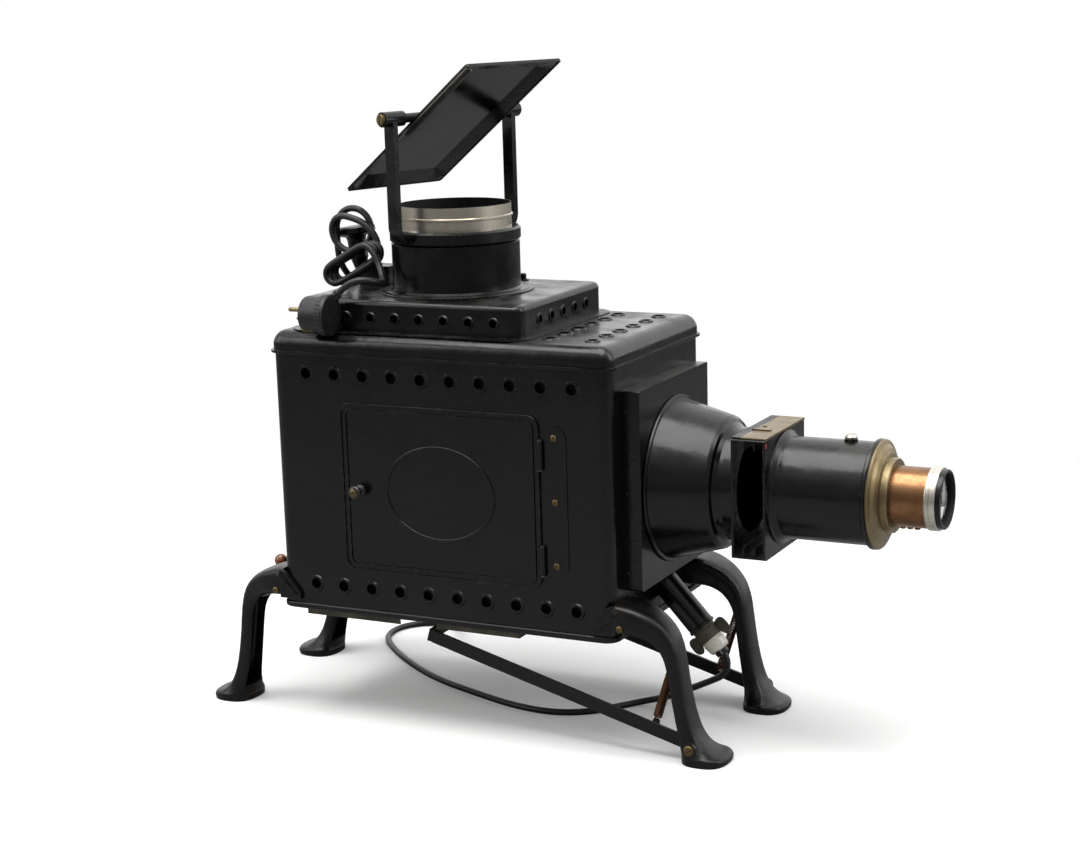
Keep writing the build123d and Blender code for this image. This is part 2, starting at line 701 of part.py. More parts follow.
cone_wall = 1.5
with BuildPart() as condenser_cone:
    turned([(cone_start, cone_radius - 4), (cone_start, cone_radius + 4),
            (cone_start + 1.4, cone_radius + 4.6),
            (cone_start + 3, cone_radius + 4), (cone_start + 3.6, cone_radius + 1),
            (neck_start - 12, cone_end + 2.2), (neck_start - 4, cone_end), (neck_start - 0.5, cone_end - 3),
            (neck_start + 1, neck_radius + 4), (neck_start + 5, neck_radius + 1),
            (neck_start + 9, neck_radius),
            (gate_start - 0.02, neck_radius), (gate_start - 0.02, neck_radius - cone_wall),
            (neck_start + 8, neck_radius - cone_wall), (neck_start + 3, neck_radius),
            (neck_start - 3, cone_end - 5), (neck_start - 12, cone_end + 0.5),
            (cone_start + 3, cone_radius - 1.2)],
           lens_axis)

gate_face = Plane(origin=(x_right, y_middle, z_lens - 2.5), x_dir=(0, 1, 0), z_dir=(1, 0, 0))
with BuildPart() as slide_gate:
    with BuildSketch(gate_face.offset(gate_start)):
        RectangleRounded(gate_width, gate_height, 4)
    extrude(amount=gate_depth)
    with BuildSketch(gate_face.offset(gate_start + gate_sheet)):
        Rectangle(gate_width + 2, gate_height - 2 * gate_sheet)
    extrude(amount=gate_depth - 2 * gate_sheet, mode=Mode.SUBTRACT)
    # two rails above and two below keep a slide upright
    for z in (1, -1):
        for x in (11, 22.5):
            with BuildSketch(gate_face.offset(gate_start + x)):
                with Locations((0, z * (gate_height / 2 - gate_sheet - 5))):
                    Rectangle(gate_width - 8, 10.4)
            extrude(amount=1.6)
    rod(lens_axis, gate_start - 1, gate_end + 1, gate_aperture, mode=Mode.SUBTRACT)

spring_plate_lift = 0.04
gate_top = z_lens - 2.5 + gate_height / 2
with BuildPart() as gate_spring_plate:
    west = x_right + gate_start + 0.5
    east = x_right + gate_end - 0.5
    south = y_middle - gate_width / 2 + 1
    north = y_middle + gate_width / 2 - 1
    low = gate_top + spring_plate_lift
    block((west, south, low), (east, north, low + 1.2))
    block((west + 8, south + 38, low + 1.2), (east - 8, south + 44, low + 2.6))
    block((east - 1, south, low), (east + 1.4, north, low + 1.2))
    block((east + 0.6, south, low - 1.1), (east + 1.4, north, low + 1.2))
    with BuildSketch(Plane.XY.offset(low + 1.2)):
        with Locations((west + 14, south + 60)):
            Circle(2.4)
    extrude(amount=0.9)

tube_inside = tube_radius - tube_wall
clamp_boss = 2.2
clamp_back = 2.2  # the released screw stands this far off the draw tube
with BuildPart() as objective_tube:
    turned([(gate_end + 0.02, tube_inside), (gate_end + 0.02, tube_radius + 6),
            (gate_end + 2, tube_radius + 6),
            (gate_end + 3, tube_radius + 4), (gate_end + 7, tube_radius + 0.8), (gate_end + 9, tube_radius),
            (tube_end - 1, tube_radius), (tube_end - 0.6, tube_radius + 2.4),
            (tube_end + 0.6, tube_radius + 3.6),
            (tube_end + 2.6, tube_radius + 3.6), (tube_end + 4, tube_radius + 2.2),
            (tube_end + 4, tube_inside)],
           lens_axis)
    clamp_x = x_right + tube_end - 27.0
    clamp = Plane(origin=(clamp_x, y_middle, z_lens), x_dir=(0, 0, 1), z_dir=(0, 1, 0))
    rod(clamp, tube_radius - 1, tube_radius + clamp_boss, 7)
    rod(lens_axis, gate_end, tube_end + 5, tube_inside, mode=Mode.SUBTRACT)
    rod(clamp, tube_radius - 3, tube_radius + clamp_boss + 1, 2 + running_gap, mode=Mode.SUBTRACT)

with BuildPart() as clamp_screw:
    turned([(tube_inside + clamp_back, 0), (tube_inside + clamp_back, 2),
            (tube_radius + clamp_boss + fit_gap, 2), (tube_radius + clamp_boss + fit_gap, 6),
            (tube_radius + 4.6, 6.4), (tube_radius + 6.6, 5), (tube_radius + 7.6, 2.8),
            (tube_radius + 7.9, 0)], clamp)

flange_start = tube_end + 4.4
flange_end = flange_start + flange_reach
draw_radius = tube_inside - running_gap
guide_bore = objective_radius + running_gap
with BuildPart() as objective_flange:
    turned([(tube_end - draw_length, draw_radius - 1.5), (tube_end - draw_length, draw_radius),
            (flange_start, draw_radius), (flange_start, flange_radius - 1),
            (flange_start + 1.5, flange_radius),
            (flange_start + 3, flange_radius - 1), (flange_start + 4.4, flange_radius - 5),
            (flange_start + 7, flange_radius - 9), (flange_start + 9, flange_radius - 14),
            (flange_end - 7, step_radius), (flange_end - 1, step_radius), (flange_end, step_radius - 1),
            (flange_end, guide_bore), (flange_end - objective_depth + 6, guide_bore),
            (flange_end - objective_depth + 6, guide_bore + 1.5), (flange_start + 4, guide_bore + 1.5),
            (flange_start + 1.5, draw_radius - 1.5)], lens_axis)

barrel_end = flange_end + objective_reach
with BuildPart() as lens_barrel:
    turned([(flange_end - objective_depth, objective_radius - 1.5),
            (flange_end - objective_depth, objective_radius),
            (barrel_end, objective_radius), (barrel_end, objective_radius - 1.5)], lens_axis)
    # three studs in a row under the barrel
    for i in range(3):
        stud = Plane(origin=(x_right + flange_end + 6.5 + 7.5 * i, y_middle, z_lens), x_dir=(0, 0, -1),
                     z_dir=(0, 1, 0))
        turned([(objective_radius - 0.6, 0), (objective_radius - 0.6, 3.2), (objective_radius + 2.0, 3.2),
                (objective_radius + 2.8, 2.0), (objective_radius + 2.8, 0)], stud)

ring_start = barrel_end - 1.0
with BuildPart() as focus_ring:
    turned([(ring_start - 1, objective_radius + 0.05), (ring_start - 1, ring_radius - 0.5),
            (ring_start, ring_radius),
            (ring_start + 3.4, ring_radius), (ring_start + 3.8, ring_radius - 0.5),
            (ring_start + 4.2, ring_radius),
            (ring_start + ring_length - 1, ring_radius), (ring_start + ring_length, ring_radius - 0.8),
            (ring_start + ring_length, objective_radius - 1.4), (barrel_end + 0.02, objective_radius - 1.4),
            (barrel_end + 0.02, objective_radius + 0.05)], lens_axis)

cell_start = ring_start + ring_length + 0.02
cell_inside = objective_radius - 4.2
with BuildPart() as lens_cell:
    turned([(cell_start - 20, cell_inside), (cell_start - 20, objective_radius - 1.6),
            (cell_start, objective_radius - 1.6), (cell_start, objective_radius - 0.2),
            (cell_start + cell_length - 1, objective_radius - 0.2),
            (cell_start + cell_length, objective_radius - 1),
            (cell_start + cell_length, cell_inside + 1.2), (cell_start + 1.5, cell_inside)], lens_axis)

with BuildPart() as objective_lenses:
    round_lens(lens_axis, cell_start - 7, 4.0, cell_inside - 0.1, 1.0, 6.0)
    round_lens(lens_axis, flange_end - objective_depth + 3, 5.0, objective_radius - 1.6, 4.0, 1.0)

# ---------------------------------------------------------------- lamp
sleeve_inside = lamp_sleeve_radius - lamp_sleeve_wall
holder_radius = sleeve_inside - running_gap
grip_start = lamp_outside + 3.3
grip_end = grip_start + grip_plate_thickness
porcelain_start = grip_end + 1.4
porcelain_end = porcelain_start + porcelain_length
cord_bore = cord_diameter / 2 + 0.1
with BuildPart() as lamp_sleeve:
    turned([(-lamp_inside, sleeve_inside), (-lamp_inside, lamp_sleeve_radius),
            (lamp_outside - 4, lamp_sleeve_radius),
            (lamp_outside - 3, lamp_sleeve_radius + 1), (lamp_outside - 1, lamp_sleeve_radius + 1),
            (lamp_outside, lamp_sleeve_radius), (lamp_outside, sleeve_inside)], lamp_axis)
    # a strap holds it under the plate on the lens end
    for y in (1, -1):
        low, high = sorted((y_middle + y * (lamp_sleeve_radius - 1),
                            y_middle + y * (lamp_sleeve_radius + 9)))
        block((x_right + 0.1, low, z_bottom + lamp_height - 9),
              (x_right + 2.1, high, z_bottom + lamp_height + 5))

with BuildPart() as lamp_holder:
    turned([(-lamp_tube_inside, holder_radius - 1.5), (-lamp_tube_inside, holder_radius),
            (grip_start + 0.5, holder_radius),
            (grip_start + 0.5, porcelain_radius - 5), (grip_start - 1, holder_radius - 1.5)], lamp_axis)
    grip_plane = Plane(origin=lamp_axis.from_local_coords((grip_start, 0, 0)), z_dir=lamp_direction,
                       x_dir=(0, math.cos(math.radians(grip_plate_turn)), 0)
                       + lamp_axis.y_dir * math.sin(math.radians(grip_plate_turn)))
    wing = grip_plate_length / 2
    half = grip_plate_width / 2
    with BuildSketch(grip_plane):
        Circle(holder_radius + 1.5)
        with BuildLine():
            Polyline([(-wing, -half), (-6, -half * 0.6), (6, -half * 0.6), (wing, -half), (wing, half),
                      (6, half * 0.6),
                      (-6, half * 0.6), (-wing, half)], close=True)
        make_face()
        fillet(vertices().filter_by(lambda v: v.center().length > wing), 4)
    extrude(amount=grip_plate_thickness)
    rod(lamp_axis, grip_start - 2, porcelain_start, porcelain_radius - 3)
    rod(lamp_axis, grip_start - 3, porcelain_start + 1, porcelain_radius - 5, mode=Mode.SUBTRACT)

with BuildPart() as porcelain:
    turned([(porcelain_start + 0.02, 5), (porcelain_start + 0.02, porcelain_radius - 1),
            (porcelain_start + 1, porcelain_radius), (porcelain_start + 9, porcelain_radius),
            (porcelain_start + 9.8, porcelain_radius - 1), (porcelain_start + 11.2, porcelain_radius - 1),
            (porcelain_start + 12, porcelain_radius - 0.4), (porcelain_end - 3, porcelain_radius - 1.6),
            (porcelain_end - 0.8, porcelain_radius - 2.8), (porcelain_end, porcelain_radius - 5),
            (porcelain_end, cord_bore), (porcelain_end - 8, cord_bore), (porcelain_end - 9, 5)], lamp_axis)

with BuildPart() as cord_grip:
    turned([(porcelain_end + 0.05, cord_bore), (porcelain_end + 0.05, 6.5), (porcelain_end + 4.5, 6.5),
            (porcelain_end + 5.5, 5.5), (porcelain_end + 5.5, cord_bore)], lamp_axis)
    grip_ear = Plane(origin=lamp_axis.from_local_coords((porcelain_end + 0.05, 0, 0)), z_dir=lamp_direction,
                     x_dir=(0, -1, 0))
    with BuildSketch(grip_ear):
        with Locations((8.5, 0)):
            RectangleRounded(7, 6.5, 1)
    extrude(amount=4.8)
    rod(lamp_axis, porcelain_end - 1, porcelain_end + 7, cord_bore, mode=Mode.SUBTRACT)

bulb_end = -lamp_tube_inside - bulb_length
with BuildPart() as lamp_bulb:
    turned([(bulb_end, 0), (bulb_end + 1, 4), (bulb_end + 4, 7.6), (bulb_end + 9, bulb_radius),
            (-lamp_tube_inside - 8, bulb_radius), (-lamp_tube_inside - 2, holder_radius - 3),
            (-lamp_tube_inside + 22,
            holder_radius - 3), (-lamp_tube_inside + 22, holder_radius - 1.8), (-lamp_tube_inside + 26,
            holder_radius - 1.8), (-lamp_tube_inside + 26, 0)], lamp_axis)

reflector_back = -150.0  # behind the plate's joint, along the lens axis
reflector_radius = 42.0
bracket_x = x_right + reflector_back - 4
with BuildPart() as lamp_reflector:
    dish = [(0, 0), (1, 14), (4, 26), (10, 36), (16, reflector_radius)]
    turned([(reflector_back + x, r) for x, r in dish] + [(reflector_back + 1 + x, r) for x,
                                                         r in reversed(dish)],
           lens_axis)
    rod(lens_axis, reflector_back - 5, reflector_back + 0.5, 4)
    block((bracket_x - 1, y_middle - 5, z_bottom + 0.02), (bracket_x + 1, y_middle + 5, z_lens + 5))
    block((bracket_x - 1, y_middle - 12, z_bottom + 0.02), (bracket_x + 13, y_middle + 12, z_bottom + 1.5))

# ---------------------------------------------------------------- door, its hinge and latch
door_face = front.offset(fit_gap)
hinge_x = x_left + door_from_left + door_length + 1.5
hinge_y = y_front - hinge_radius - fit_gap
knuckle_bore = hinge_pin_radius + running_gap
door_knuckle = knuckle_length / 3
knuckle_places = (z_bottom + upper_knuckle, z_bottom + lower_knuckle)
pin_head = 1.2


def barrel(z_low, z_high, radius, mode=Mode.ADD):
    # A knuckle or a pin of the door's hinge.
    stand = Plane(origin=(hinge_x, hinge_y, 0), x_dir=(0, 0, 1), z_dir=(0, -1, 0))
    rod(stand, z_low, z_high, radius, mode)


def door_outline(depth, length, height, radius):
    with BuildSketch(door_face.offset(depth)) as plan:
        with Locations((door_middle_x, door_middle_z)):
            RectangleRounded(length, height, radius)
    return plan.sketch


with BuildPart() as door:
    extrude(door_outline(0, door_length, door_height, door_radius), amount=sheet)
    # two pressed beads run round the edge
    for inset in (0.0, 2 * door_bead_width):
        with BuildPart(mode=Mode.PRIVATE) as bead:
            extrude(door_outline(sheet, door_length - 2 * inset, door_height - 2 * inset,
                                 door_radius - inset),
                    amount=door_bead, taper=25)
            extrude(door_outline(sheet - 1, door_length - 2 * inset - 2 * door_bead_width,
                                 door_height - 2 * inset - 2 * door_bead_width,
                                 door_radius - inset - door_bead_width),
                    amount=4, mode=Mode.SUBTRACT)
        add(bead.part)
    # a raised oval stiffens the middle
    with BuildPart(mode=Mode.PRIVATE) as swage:
        with BuildSketch(door_face.offset(sheet)):
            with Locations((door_middle_x, door_middle_z)):
                Ellipse(swage_length / 2, swage_height / 2)
                Ellipse(swage_length / 2 - swage_width, swage_height / 2 - swage_width, mode=Mode.SUBTRACT)
        extrude(amount=door_bead)
        fillet(swage.edges().group_by(Axis.Y)[0], door_bead * 0.7)
    add(swage.part)
    for z in knuckle_places:
        relief = knuckle_length / 2 + pin_head + 0.5
        block((hinge_x - hinge_radius - 1.5, y_front - 12, z - relief), (hinge_x + 4, y_front, z + relief),
              mode=Mode.SUBTRACT)
        barrel(z - door_knuckle / 2 + 0.1, z + door_knuckle / 2 - 0.1, hinge_radius)
        block((hinge_x - hinge_radius - 3, y_front - fit_gap - sheet, z - door_knuckle / 2 + 0.1),
              (hinge_x - 1, y_front - fit_gap, z + door_knuckle / 2 - 0.1))
        barrel(z - knuckle_length, z + knuckle_length, knuckle_bore, mode=Mode.SUBTRACT)
    knob_axis = Plane(origin=(knob_x, y_front, knob_z), x_dir=(0, -1, 0), z_dir=(1, 0, 0))
    rod(knob_axis, -1, 10, spindle_radius + running_gap, mode=Mode.SUBTRACT)

with BuildPart() as hinge_leaf:
    with BuildSketch(front.offset(0.02)):
        with Locations((leaf_x, leaf_z)):
            SlotOverall(leaf_length, leaf_width, rotation=90)
    extrude(amount=leaf_thickness)
    for z in knuckle_places:
        for side in (1, -1):
            near = z + side * (door_knuckle / 2 + 0.1)
            far = z + side * knuckle_length / 2
            barrel(min(near, far), max(near, far), hinge_radius)
            block((hinge_x + 1, y_front - 0.02 - leaf_thickness, min(near, far)),
                  (leaf_x, y_front - 0.02, max(near, far)))
        barrel(z - knuckle_length, z + knuckle_length, knuckle_bore, mode=Mode.SUBTRACT)
        # room for the door's own knuckle
        barrel(z - door_knuckle / 2 - 0.1, z + door_knuckle / 2 + 0.1, hinge_radius + fit_gap,
               mode=Mode.SUBTRACT)
    for z in leaf_screws:
        hole = Plane(origin=(leaf_x, y_front, z), x_dir=(0, -1, 0), z_dir=(1, 0, 0))
        rod(hole, -1, leaf_thickness + 1, screw_bore, mode=Mode.SUBTRACT)

with BuildPart() as hinge_pin:
    for z in knuckle_places:
        barrel(z - knuckle_length / 2 - 0.02, z + knuckle_length / 2 + 0.02, hinge_pin_radius)
        barrel(z + knuckle_length / 2 + 0.02, z + knuckle_length / 2 + pin_head, hinge_radius - 0.8)
        barrel(z - knuckle_length / 2 - pin_head, z - knuckle_length / 2 - 0.02, hinge_radius - 0.8)

knob_bore = screw_radius + 0.02
latch_back = sheet + 6.4  # clear of the doorway's return
with BuildPart() as door_knob:
    turned([(-latch_back, knob_bore), (-latch_back, spindle_radius), (fit_gap + sheet + 0.1, spindle_radius),
            (fit_gap + sheet + 0.1, knob_radius - 0.8), (fit_gap + sheet + 1.6, knob_radius - 1.4),
            (4.5, 4.2),
            (8.5, 4.4), (10, knob_radius - 0.6), (11.5, knob_radius), (14, knob_radius),
            (15.4, knob_radius - 1),
            (knob_reach, knob_radius - 2.6), (knob_reach, knob_bore)], knob_axis)

with BuildPart() as latch_tongue:
    with BuildSketch(Plane(origin=(0, y_front + latch_back + 0.02, 0), x_dir=(1, 0, 0), z_dir=(0, -1, 0))):
        with Locations((knob_x, knob_z + (latch_length - latch_width / 2) / 2)):
            SlotOverall(latch_length + latch_width / 2, latch_width, rotation=90)
    extrude(amount=-1.6)
    rod(knob_axis, -latch_back - 3, 0, knob_bore, mode=Mode.SUBTRACT)

with BuildPart() as knob_screw:
    turned([(-latch_back - 1.62, 0), (-latch_back - 1.62, screw_radius), (knob_reach + 0.02, screw_radius),
            (knob_reach + 0.02, 4.3), (knob_reach + 0.7, 4.3), (knob_reach + knob_screw_head, 2.4),
            (knob_reach + knob_screw_head, 0)], knob_axis)
    turned([(-latch_back - 3.2, 0), (-latch_back - 3.2, 3), (-latch_back - 1.64, 3),
            (-latch_back - 1.64, 0)], knob_axis)
    with BuildSketch(front.offset(knob_reach + knob_screw_head)):
        with Locations((knob_x, knob_z)):
            Rectangle(12, 1.1, rotation=25)
    extrude(amount=-1.0, mode=Mode.SUBTRACT)

# ---------------------------------------------------------------- levers
lever_box_x = x_left + lever_box_from_left
lever_box_y = y_front + lever_box_from_front
lever_y = lever_box_y + lever_box_width / 2
lever_pivot_x = lever_box_x + 8.0
lever_pivot_z = z_hood + 6.0
box_wall = 2.0
with BuildPart() as lever_box:
    low = z_hood + 0.02
    high = z_hood + lever_box_height
    block((lever_box_x, lever_box_y, low), (lever_box_x + lever_box_length, lever_box_y + lever_box_width,
                                            high))
    block((lever_box_x - 1, lever_box_y + box_wall, low - 1),
          (lever_box_x + lever_box_length - box_wall, lever_box_y + lever_box_width - box_wall,
           high - box_wall),
          mode=Mode.SUBTRACT)
    block((lever_box_x - 1, lever_box_y + box_wall, low - 1),
          (lever_box_x + lever_box_length / 2, lever_box_y + lever_box_width - box_wall, high + 1),
          mode=Mode.SUBTRACT)
    lever_pivot = Plane(origin=(lever_pivot_x, lever_box_y, lever_pivot_z), x_dir=(0, 1, 0), z_dir=(0, 0, 1))
    rod(lever_pivot, -1, lever_box_width + 1, 2.5 + running_gap, mode=Mode.SUBTRACT)

lean = math.radians(lever_lean)
lever_base = Vector(lever_pivot_x - 12, lever_y, lever_pivot_z + 2)
lever_line = Plane(origin=lever_base, x_dir=(-math.sin(lean), 0, math.cos(lean)), z_dir=(0, 1, 0))
with BuildPart() as hood_lever:
    turned([(-3, 0), (-3, 3.4), (0, 4), (20, 9.5), (22, 10.4), (handle_height - 12, 10.4),
            (handle_height - 8, 11.5),
            (handle_height - 5, handle_radius - 2), (handle_height - 3, handle_radius),
            (handle_height + 2, handle_radius),
            (handle_height + 4, handle_radius - 2), (handle_height + 4, 0)], lever_line)
    block((lever_base.X - 1, lever_y - 3, lever_base.Z - 4), (lever_pivot_x, lever_y + 3, lever_base.Z + 1))
    rod(lever_pivot, box_wall + 0.4, lever_box_width - box_wall - 0.4, 3.8)
    rod(lever_pivot, 0.2, lever_box_width - 0.2, 2.5)

with BuildPart() as hood_stud:
    stud_axis = Plane(origin=(hood_left + stud_from_hood_left,
                              y_middle + hood_depth / 2 - stud_from_hood_back, z_hood),
                      x_dir=(0, 0, 1), z_dir=(0, 1, 0))
    turned([(0.02, 0), (0.02, 6), (1.6, 6), (2.2, 3.4), (7, 3.4), (8.2, 2.4), (8.2, 0)], stud_axis)

shaft_bore = shaft_radius + running_gap
shaft_axis = Plane(origin=(shaft_x, y_front, shaft_z), x_dir=(0, 1, 0), z_dir=(0, 0, 1))
ball_line = Plane(origin=(shaft_x, change_y, shaft_z), x_dir=(-ball_out, 0, -ball_drop), z_dir=(0, 1, 0))
ball_distance = math.hypot(ball_out, ball_drop)
with BuildPart() as changeover_lever:
    rod(shaft_axis, sheet + fit_gap, body_depth - sheet - fit_gap, shaft_radius)
    rod(ball_line, 0, ball_distance, shaft_radius - 1.5)

ball_bore = shaft_radius - 1.3
ball_mouth = ball_distance - math.sqrt(ball_radius ** 2 - ball_bore ** 2)
ball_stop = ball_distance + 0.2
with BuildPart() as lever_ball:
    with BuildSketch(ball_line):
        with BuildLine():
            Line((ball_stop, 0), (ball_distance + ball_radius, 0))
            ThreePointArc((ball_distance + ball_radius, 0), (ball_distance, ball_radius),
                          (ball_mouth, ball_bore))
            Line((ball_mouth, ball_bore), (ball_stop, ball_bore))
            Line((ball_stop, ball_bore), (ball_stop, 0))
        make_face()
    revolve(axis=Axis(ball_line.origin, ball_line.x_dir))

flap_length = 108.0
flap_width = 96.0
flap_rise = math.radians(4.0)
flap_plane = Plane(origin=(shaft_x, y_middle, shaft_z), x_dir=(math.cos(flap_rise), 0, math.sin(flap_rise)),
                   z_dir=(-math.sin(flap_rise), 0, math.cos(flap_rise)))
with BuildPart() as changeover_flap:
    with BuildSketch(flap_plane.offset(-0.8)):
        with Locations((flap_length / 2, 0)):
            Rectangle(flap_length, flap_width)
    extrude(amount=1.6)
    rod(Plane(origin=(shaft_x, y_middle, shaft_z), x_dir=(0, 1, 0), z_dir=(0, 0, 1)), -flap_width / 2,
        flap_width / 2, shaft_radius + 2)
    rod(shaft_axis, 0, body_depth, shaft_bore, mode=Mode.SUBTRACT)

# ---------------------------------------------------------------- legs
leg_top = z_bottom + 37.0
leg_side = Plane(origin=(x_right, y_front, 0), x_dir=(1, 0, 0), z_dir=(0, -1, 0))  # seen from the front
leg_end = Plane(origin=(x_right - 40, y_front, 0), x_dir=(0, 1, 0), z_dir=(1, 0, 0))  # seen from the lens
leg_clear = 0.15
screw_place = (x_right + 8.0, y_front - leg_wrap, z_bottom + 11.0)


def screw(place, outward, shank, slot_turn):
    # A slotted screw whose head lies on a face.
    stand = Plane(origin=place, x_dir=outward, z_dir=(0, 0, 1))
    turned([(-shank, 0), (-shank, screw_radius), (0.02, screw_radius), (0.02, screw_head_radius),
            (0.9, screw_head_radius), (1.7, screw_head_radius * 0.7), (2.0, screw_head_radius * 0.3),
            (2.0, 0)], stand)
    top = Plane(origin=stand.from_local_coords((2.0, 0, 0)), x_dir=(1, 0, 0), z_dir=outward)
    with BuildSketch(top) as groove:
        Rectangle(screw_head_radius * 3, 0.9, rotation=slot_turn)
    extrude(groove.sketch, amount=-1.1, mode=Mode.SUBTRACT)


with BuildPart() as plain_leg:
    with BuildSketch(leg_side):
        with BuildLine():
            Spline((-2, leg_top), (20, leg_top - 1), (44, leg_top - 10), (62, leg_top - 30),
                   (70, leg_top - 63), (80, 60),
                   (90, 30), (104, 19), (toe_reach - 1, 9))
            Polyline((toe_reach - 1, 9), (toe_reach, 4), (toe_reach - 2, 0), (64, 0))
            Spline((64, 0), (60, 30), (53, 75), (47, 108), (36, 126), (18, z_bottom + 3),
                   (-2, z_bottom + 3.4))
            Line((-2, z_bottom + 3.4), (-2, leg_top))
        make_face()
    extrude(amount=-(leg_depth + 10), both=True)
    with BuildSketch(leg_end):
        with BuildLine():
            front_edge = [(3.5, 0), (4, 8), (9, 20), (13, 40), (14, 80), (10, 115), (-leg_wrap, 148)]
            Polyline([*front_edge, (-leg_wrap, 180), (52, 180), (48, 120), (46, 80), (48, 40), (54, 20),
                      (3.5 + leg_depth, 8), (3.5 + leg_depth, 0)], close=True)
        make_face()
    extrude(amount=toe_reach + 50, mode=Mode.INTERSECT)
    with BuildSketch(Plane.XY.offset(-1)):
        with Locations((x_right + toe_reach - 70, y_front + 3.5 + leg_depth / 2)):
            RectangleRounded(140, leg_depth, 26)
        with Locations((x_right + 15, y_front + 28)):
            Rectangle(110, 80)
    extrude(amount=leg_top + 20, mode=Mode.INTERSECT)
    # hollow from behind, as cast legs are
    with BuildSketch(leg_side.offset(-14 - leg_wall)):
        with BuildLine():
            Polyline([(6, leg_top - 5), (18, leg_top - 6), (40, leg_top - 14), (57, leg_top - 33),
                      (65.5, leg_top - 64),
                      (75.5, 60), (85, 30), (93, 17), (96, sole + 1), (50, sole + 1), (40, 75), (30, 110),
                      (20, 126),
                      (6, 126)], close=True)
        make_face()
    extrude(amount=-24, mode=Mode.SUBTRACT)
    # the pad that wraps round the corner of the walls
    with BuildSketch(leg_side.offset(leg_wrap)):
        with BuildLine():
            Polyline([(-24, z_bottom + 3.4), (-24, z_bottom + 11), (-6, leg_top - 5), (6, leg_top),
                      (20, leg_top - 1),
                      (20, z_bottom + 3.4)], close=True)
        make_face()
    extrude(amount=-14)
    # its slanting ridge
    with BuildSketch(leg_side.offset(leg_wrap - 0.1)):
        with BuildLine():
            Polyline([(-21, z_bottom + 7), (-17, z_bottom + 5.5), (7, leg_top - 8), (3, leg_top - 4)],
                     close=True)
        make_face()
    extrude(amount=leg_ridge + 0.1, taper=25)
    extrude(body_outline(z_bottom - pan_rim - 2, leg_clear), amount=leg_top, mode=Mode.SUBTRACT)
    extrude(body_outline(z_bottom - pan_rim - 2, pan_lip + leg_clear), amount=pan_rim + 4,
            mode=Mode.SUBTRACT)
    rod(Plane(origin=screw_place, x_dir=(0, 1, 0), z_dir=(0, 0, 1)), -1, 12, screw_radius + 0.02,
        mode=Mode.SUBTRACT)

pivot_place = Vector(x_right + frame_pivot_out, y_front, frame_pivot_height)
spring_pin = Vector(x_right + spring_pin_out, y_front, spring_pin_height)
boss_out = 5.5
with BuildPart() as leg_front_right:
    add(plain_leg.part)
    across = Plane(origin=pivot_place, x_dir=(0, 1, 0), z_dir=(0, 0, 1))
    rod(across, boss_out, 14 + leg_wall, 7)
    rod(across, 3, 14 + leg_wall + 1, pivot_radius + running_gap, mode=Mode.SUBTRACT)
    rod(Plane(origin=spring_pin, x_dir=(0, 1, 0), z_dir=(0, 0, 1)), 15, 45, 2)
with BuildPart() as leg_back_right:
    mirror(leg_front_right.part, about=Plane.XZ.offset(-y_middle))
with BuildPart() as leg_front_left:
    mirror(plain_leg.part, about=Plane.YZ.offset(x_middle))
with BuildPart() as leg_back_left:
    mirror(leg_front_left.part, about=Plane.XZ.offset(-y_middle))

with BuildPart() as wall_screws:
    for x in (screw_place[0], 2 * x_middle - screw_place[0]):
        screw((x, screw_place[1], screw_place[2]), (0, -1, 0), 10, 35)
        screw((x, 2 * y_middle - screw_place[1], screw_place[2]), (0, 1, 0), 10, 70)
    for z in leaf_screws:
        screw((leaf_x, y_front - 0.02 - leaf_thickness, z), (0, -1, 0), 5, 80)

# ---------------------------------------------------------------- lever frame, stage, springs
rise = math.radians(frame_slope)
arm_line = Vector(-math.cos(rise), 0, math.sin(rise))
arm_plane = Plane(origin=pivot_place, x_dir=arm_line, z_dir=(0, 1, 0))
far_arm = body_depth - frame_from_wall - bar_thickness
ear_x = frame_length - bar_thickness / 2
pin_bore = stage_pin_radius + running_gap
ear_places = (90.0, body_depth - 90.0 - bar_thickness)
stud_radius = 2.0
stud_reach = 12.0
spring_from_wall = 31.0
with BuildPart() as lever_frame:
    for y in (frame_from_wall, far_arm):
        with BuildSketch(arm_plane.offset(y)):
            with Locations(((frame_length - bar_width / 2) / 2, 0)):
                RectangleRounded(frame_length + bar_width / 2, bar_width, bar_width / 2 - 0.1)
        extrude(amount=bar_thickness)
    with BuildSketch(arm_plane.offset(frame_from_wall)):
        with Locations((ear_x, 0)):
            Rectangle(bar_thickness, bar_width)
    extrude(amount=far_arm + bar_thickness - frame_from_wall)
    for y in ear_places:
        with BuildSketch(arm_plane.offset(y)):
            with Locations((ear_x, (stage_ear_height - bar_width / 2) / 2)):
                Rectangle(8, stage_ear_height + bar_width / 2)
            with Locations((ear_x, stage_ear_height)):
                Circle(4)
        extrude(amount=bar_thickness)
    for y, side in ((frame_from_wall + bar_thickness, 1), (far_arm, -1)):
        stud = Plane(origin=arm_plane.from_local_coords((spring_hook, 3, y)), x_dir=(0, side, 0),
                     z_dir=(0, 0, 1))
        rod(stud, -1, stud_reach, stud_radius)
        rod(stud, stud_reach - 1.4, stud_reach, stud_radius + 1.2)
    across = Plane(origin=arm_plane.from_local_coords((ear_x, stage_ear_height, 0)), x_dir=(0, 1, 0),
                   z_dir=(0, 0, 1))
    rod(across, 0, body_depth, pin_bore, mode=Mode.SUBTRACT)
    across = Plane(origin=pivot_place, x_dir=(0, 1, 0), z_dir=(0, 0, 1))
    rod(across, 0, body_depth, pivot_radius + running_gap, mode=Mode.SUBTRACT)

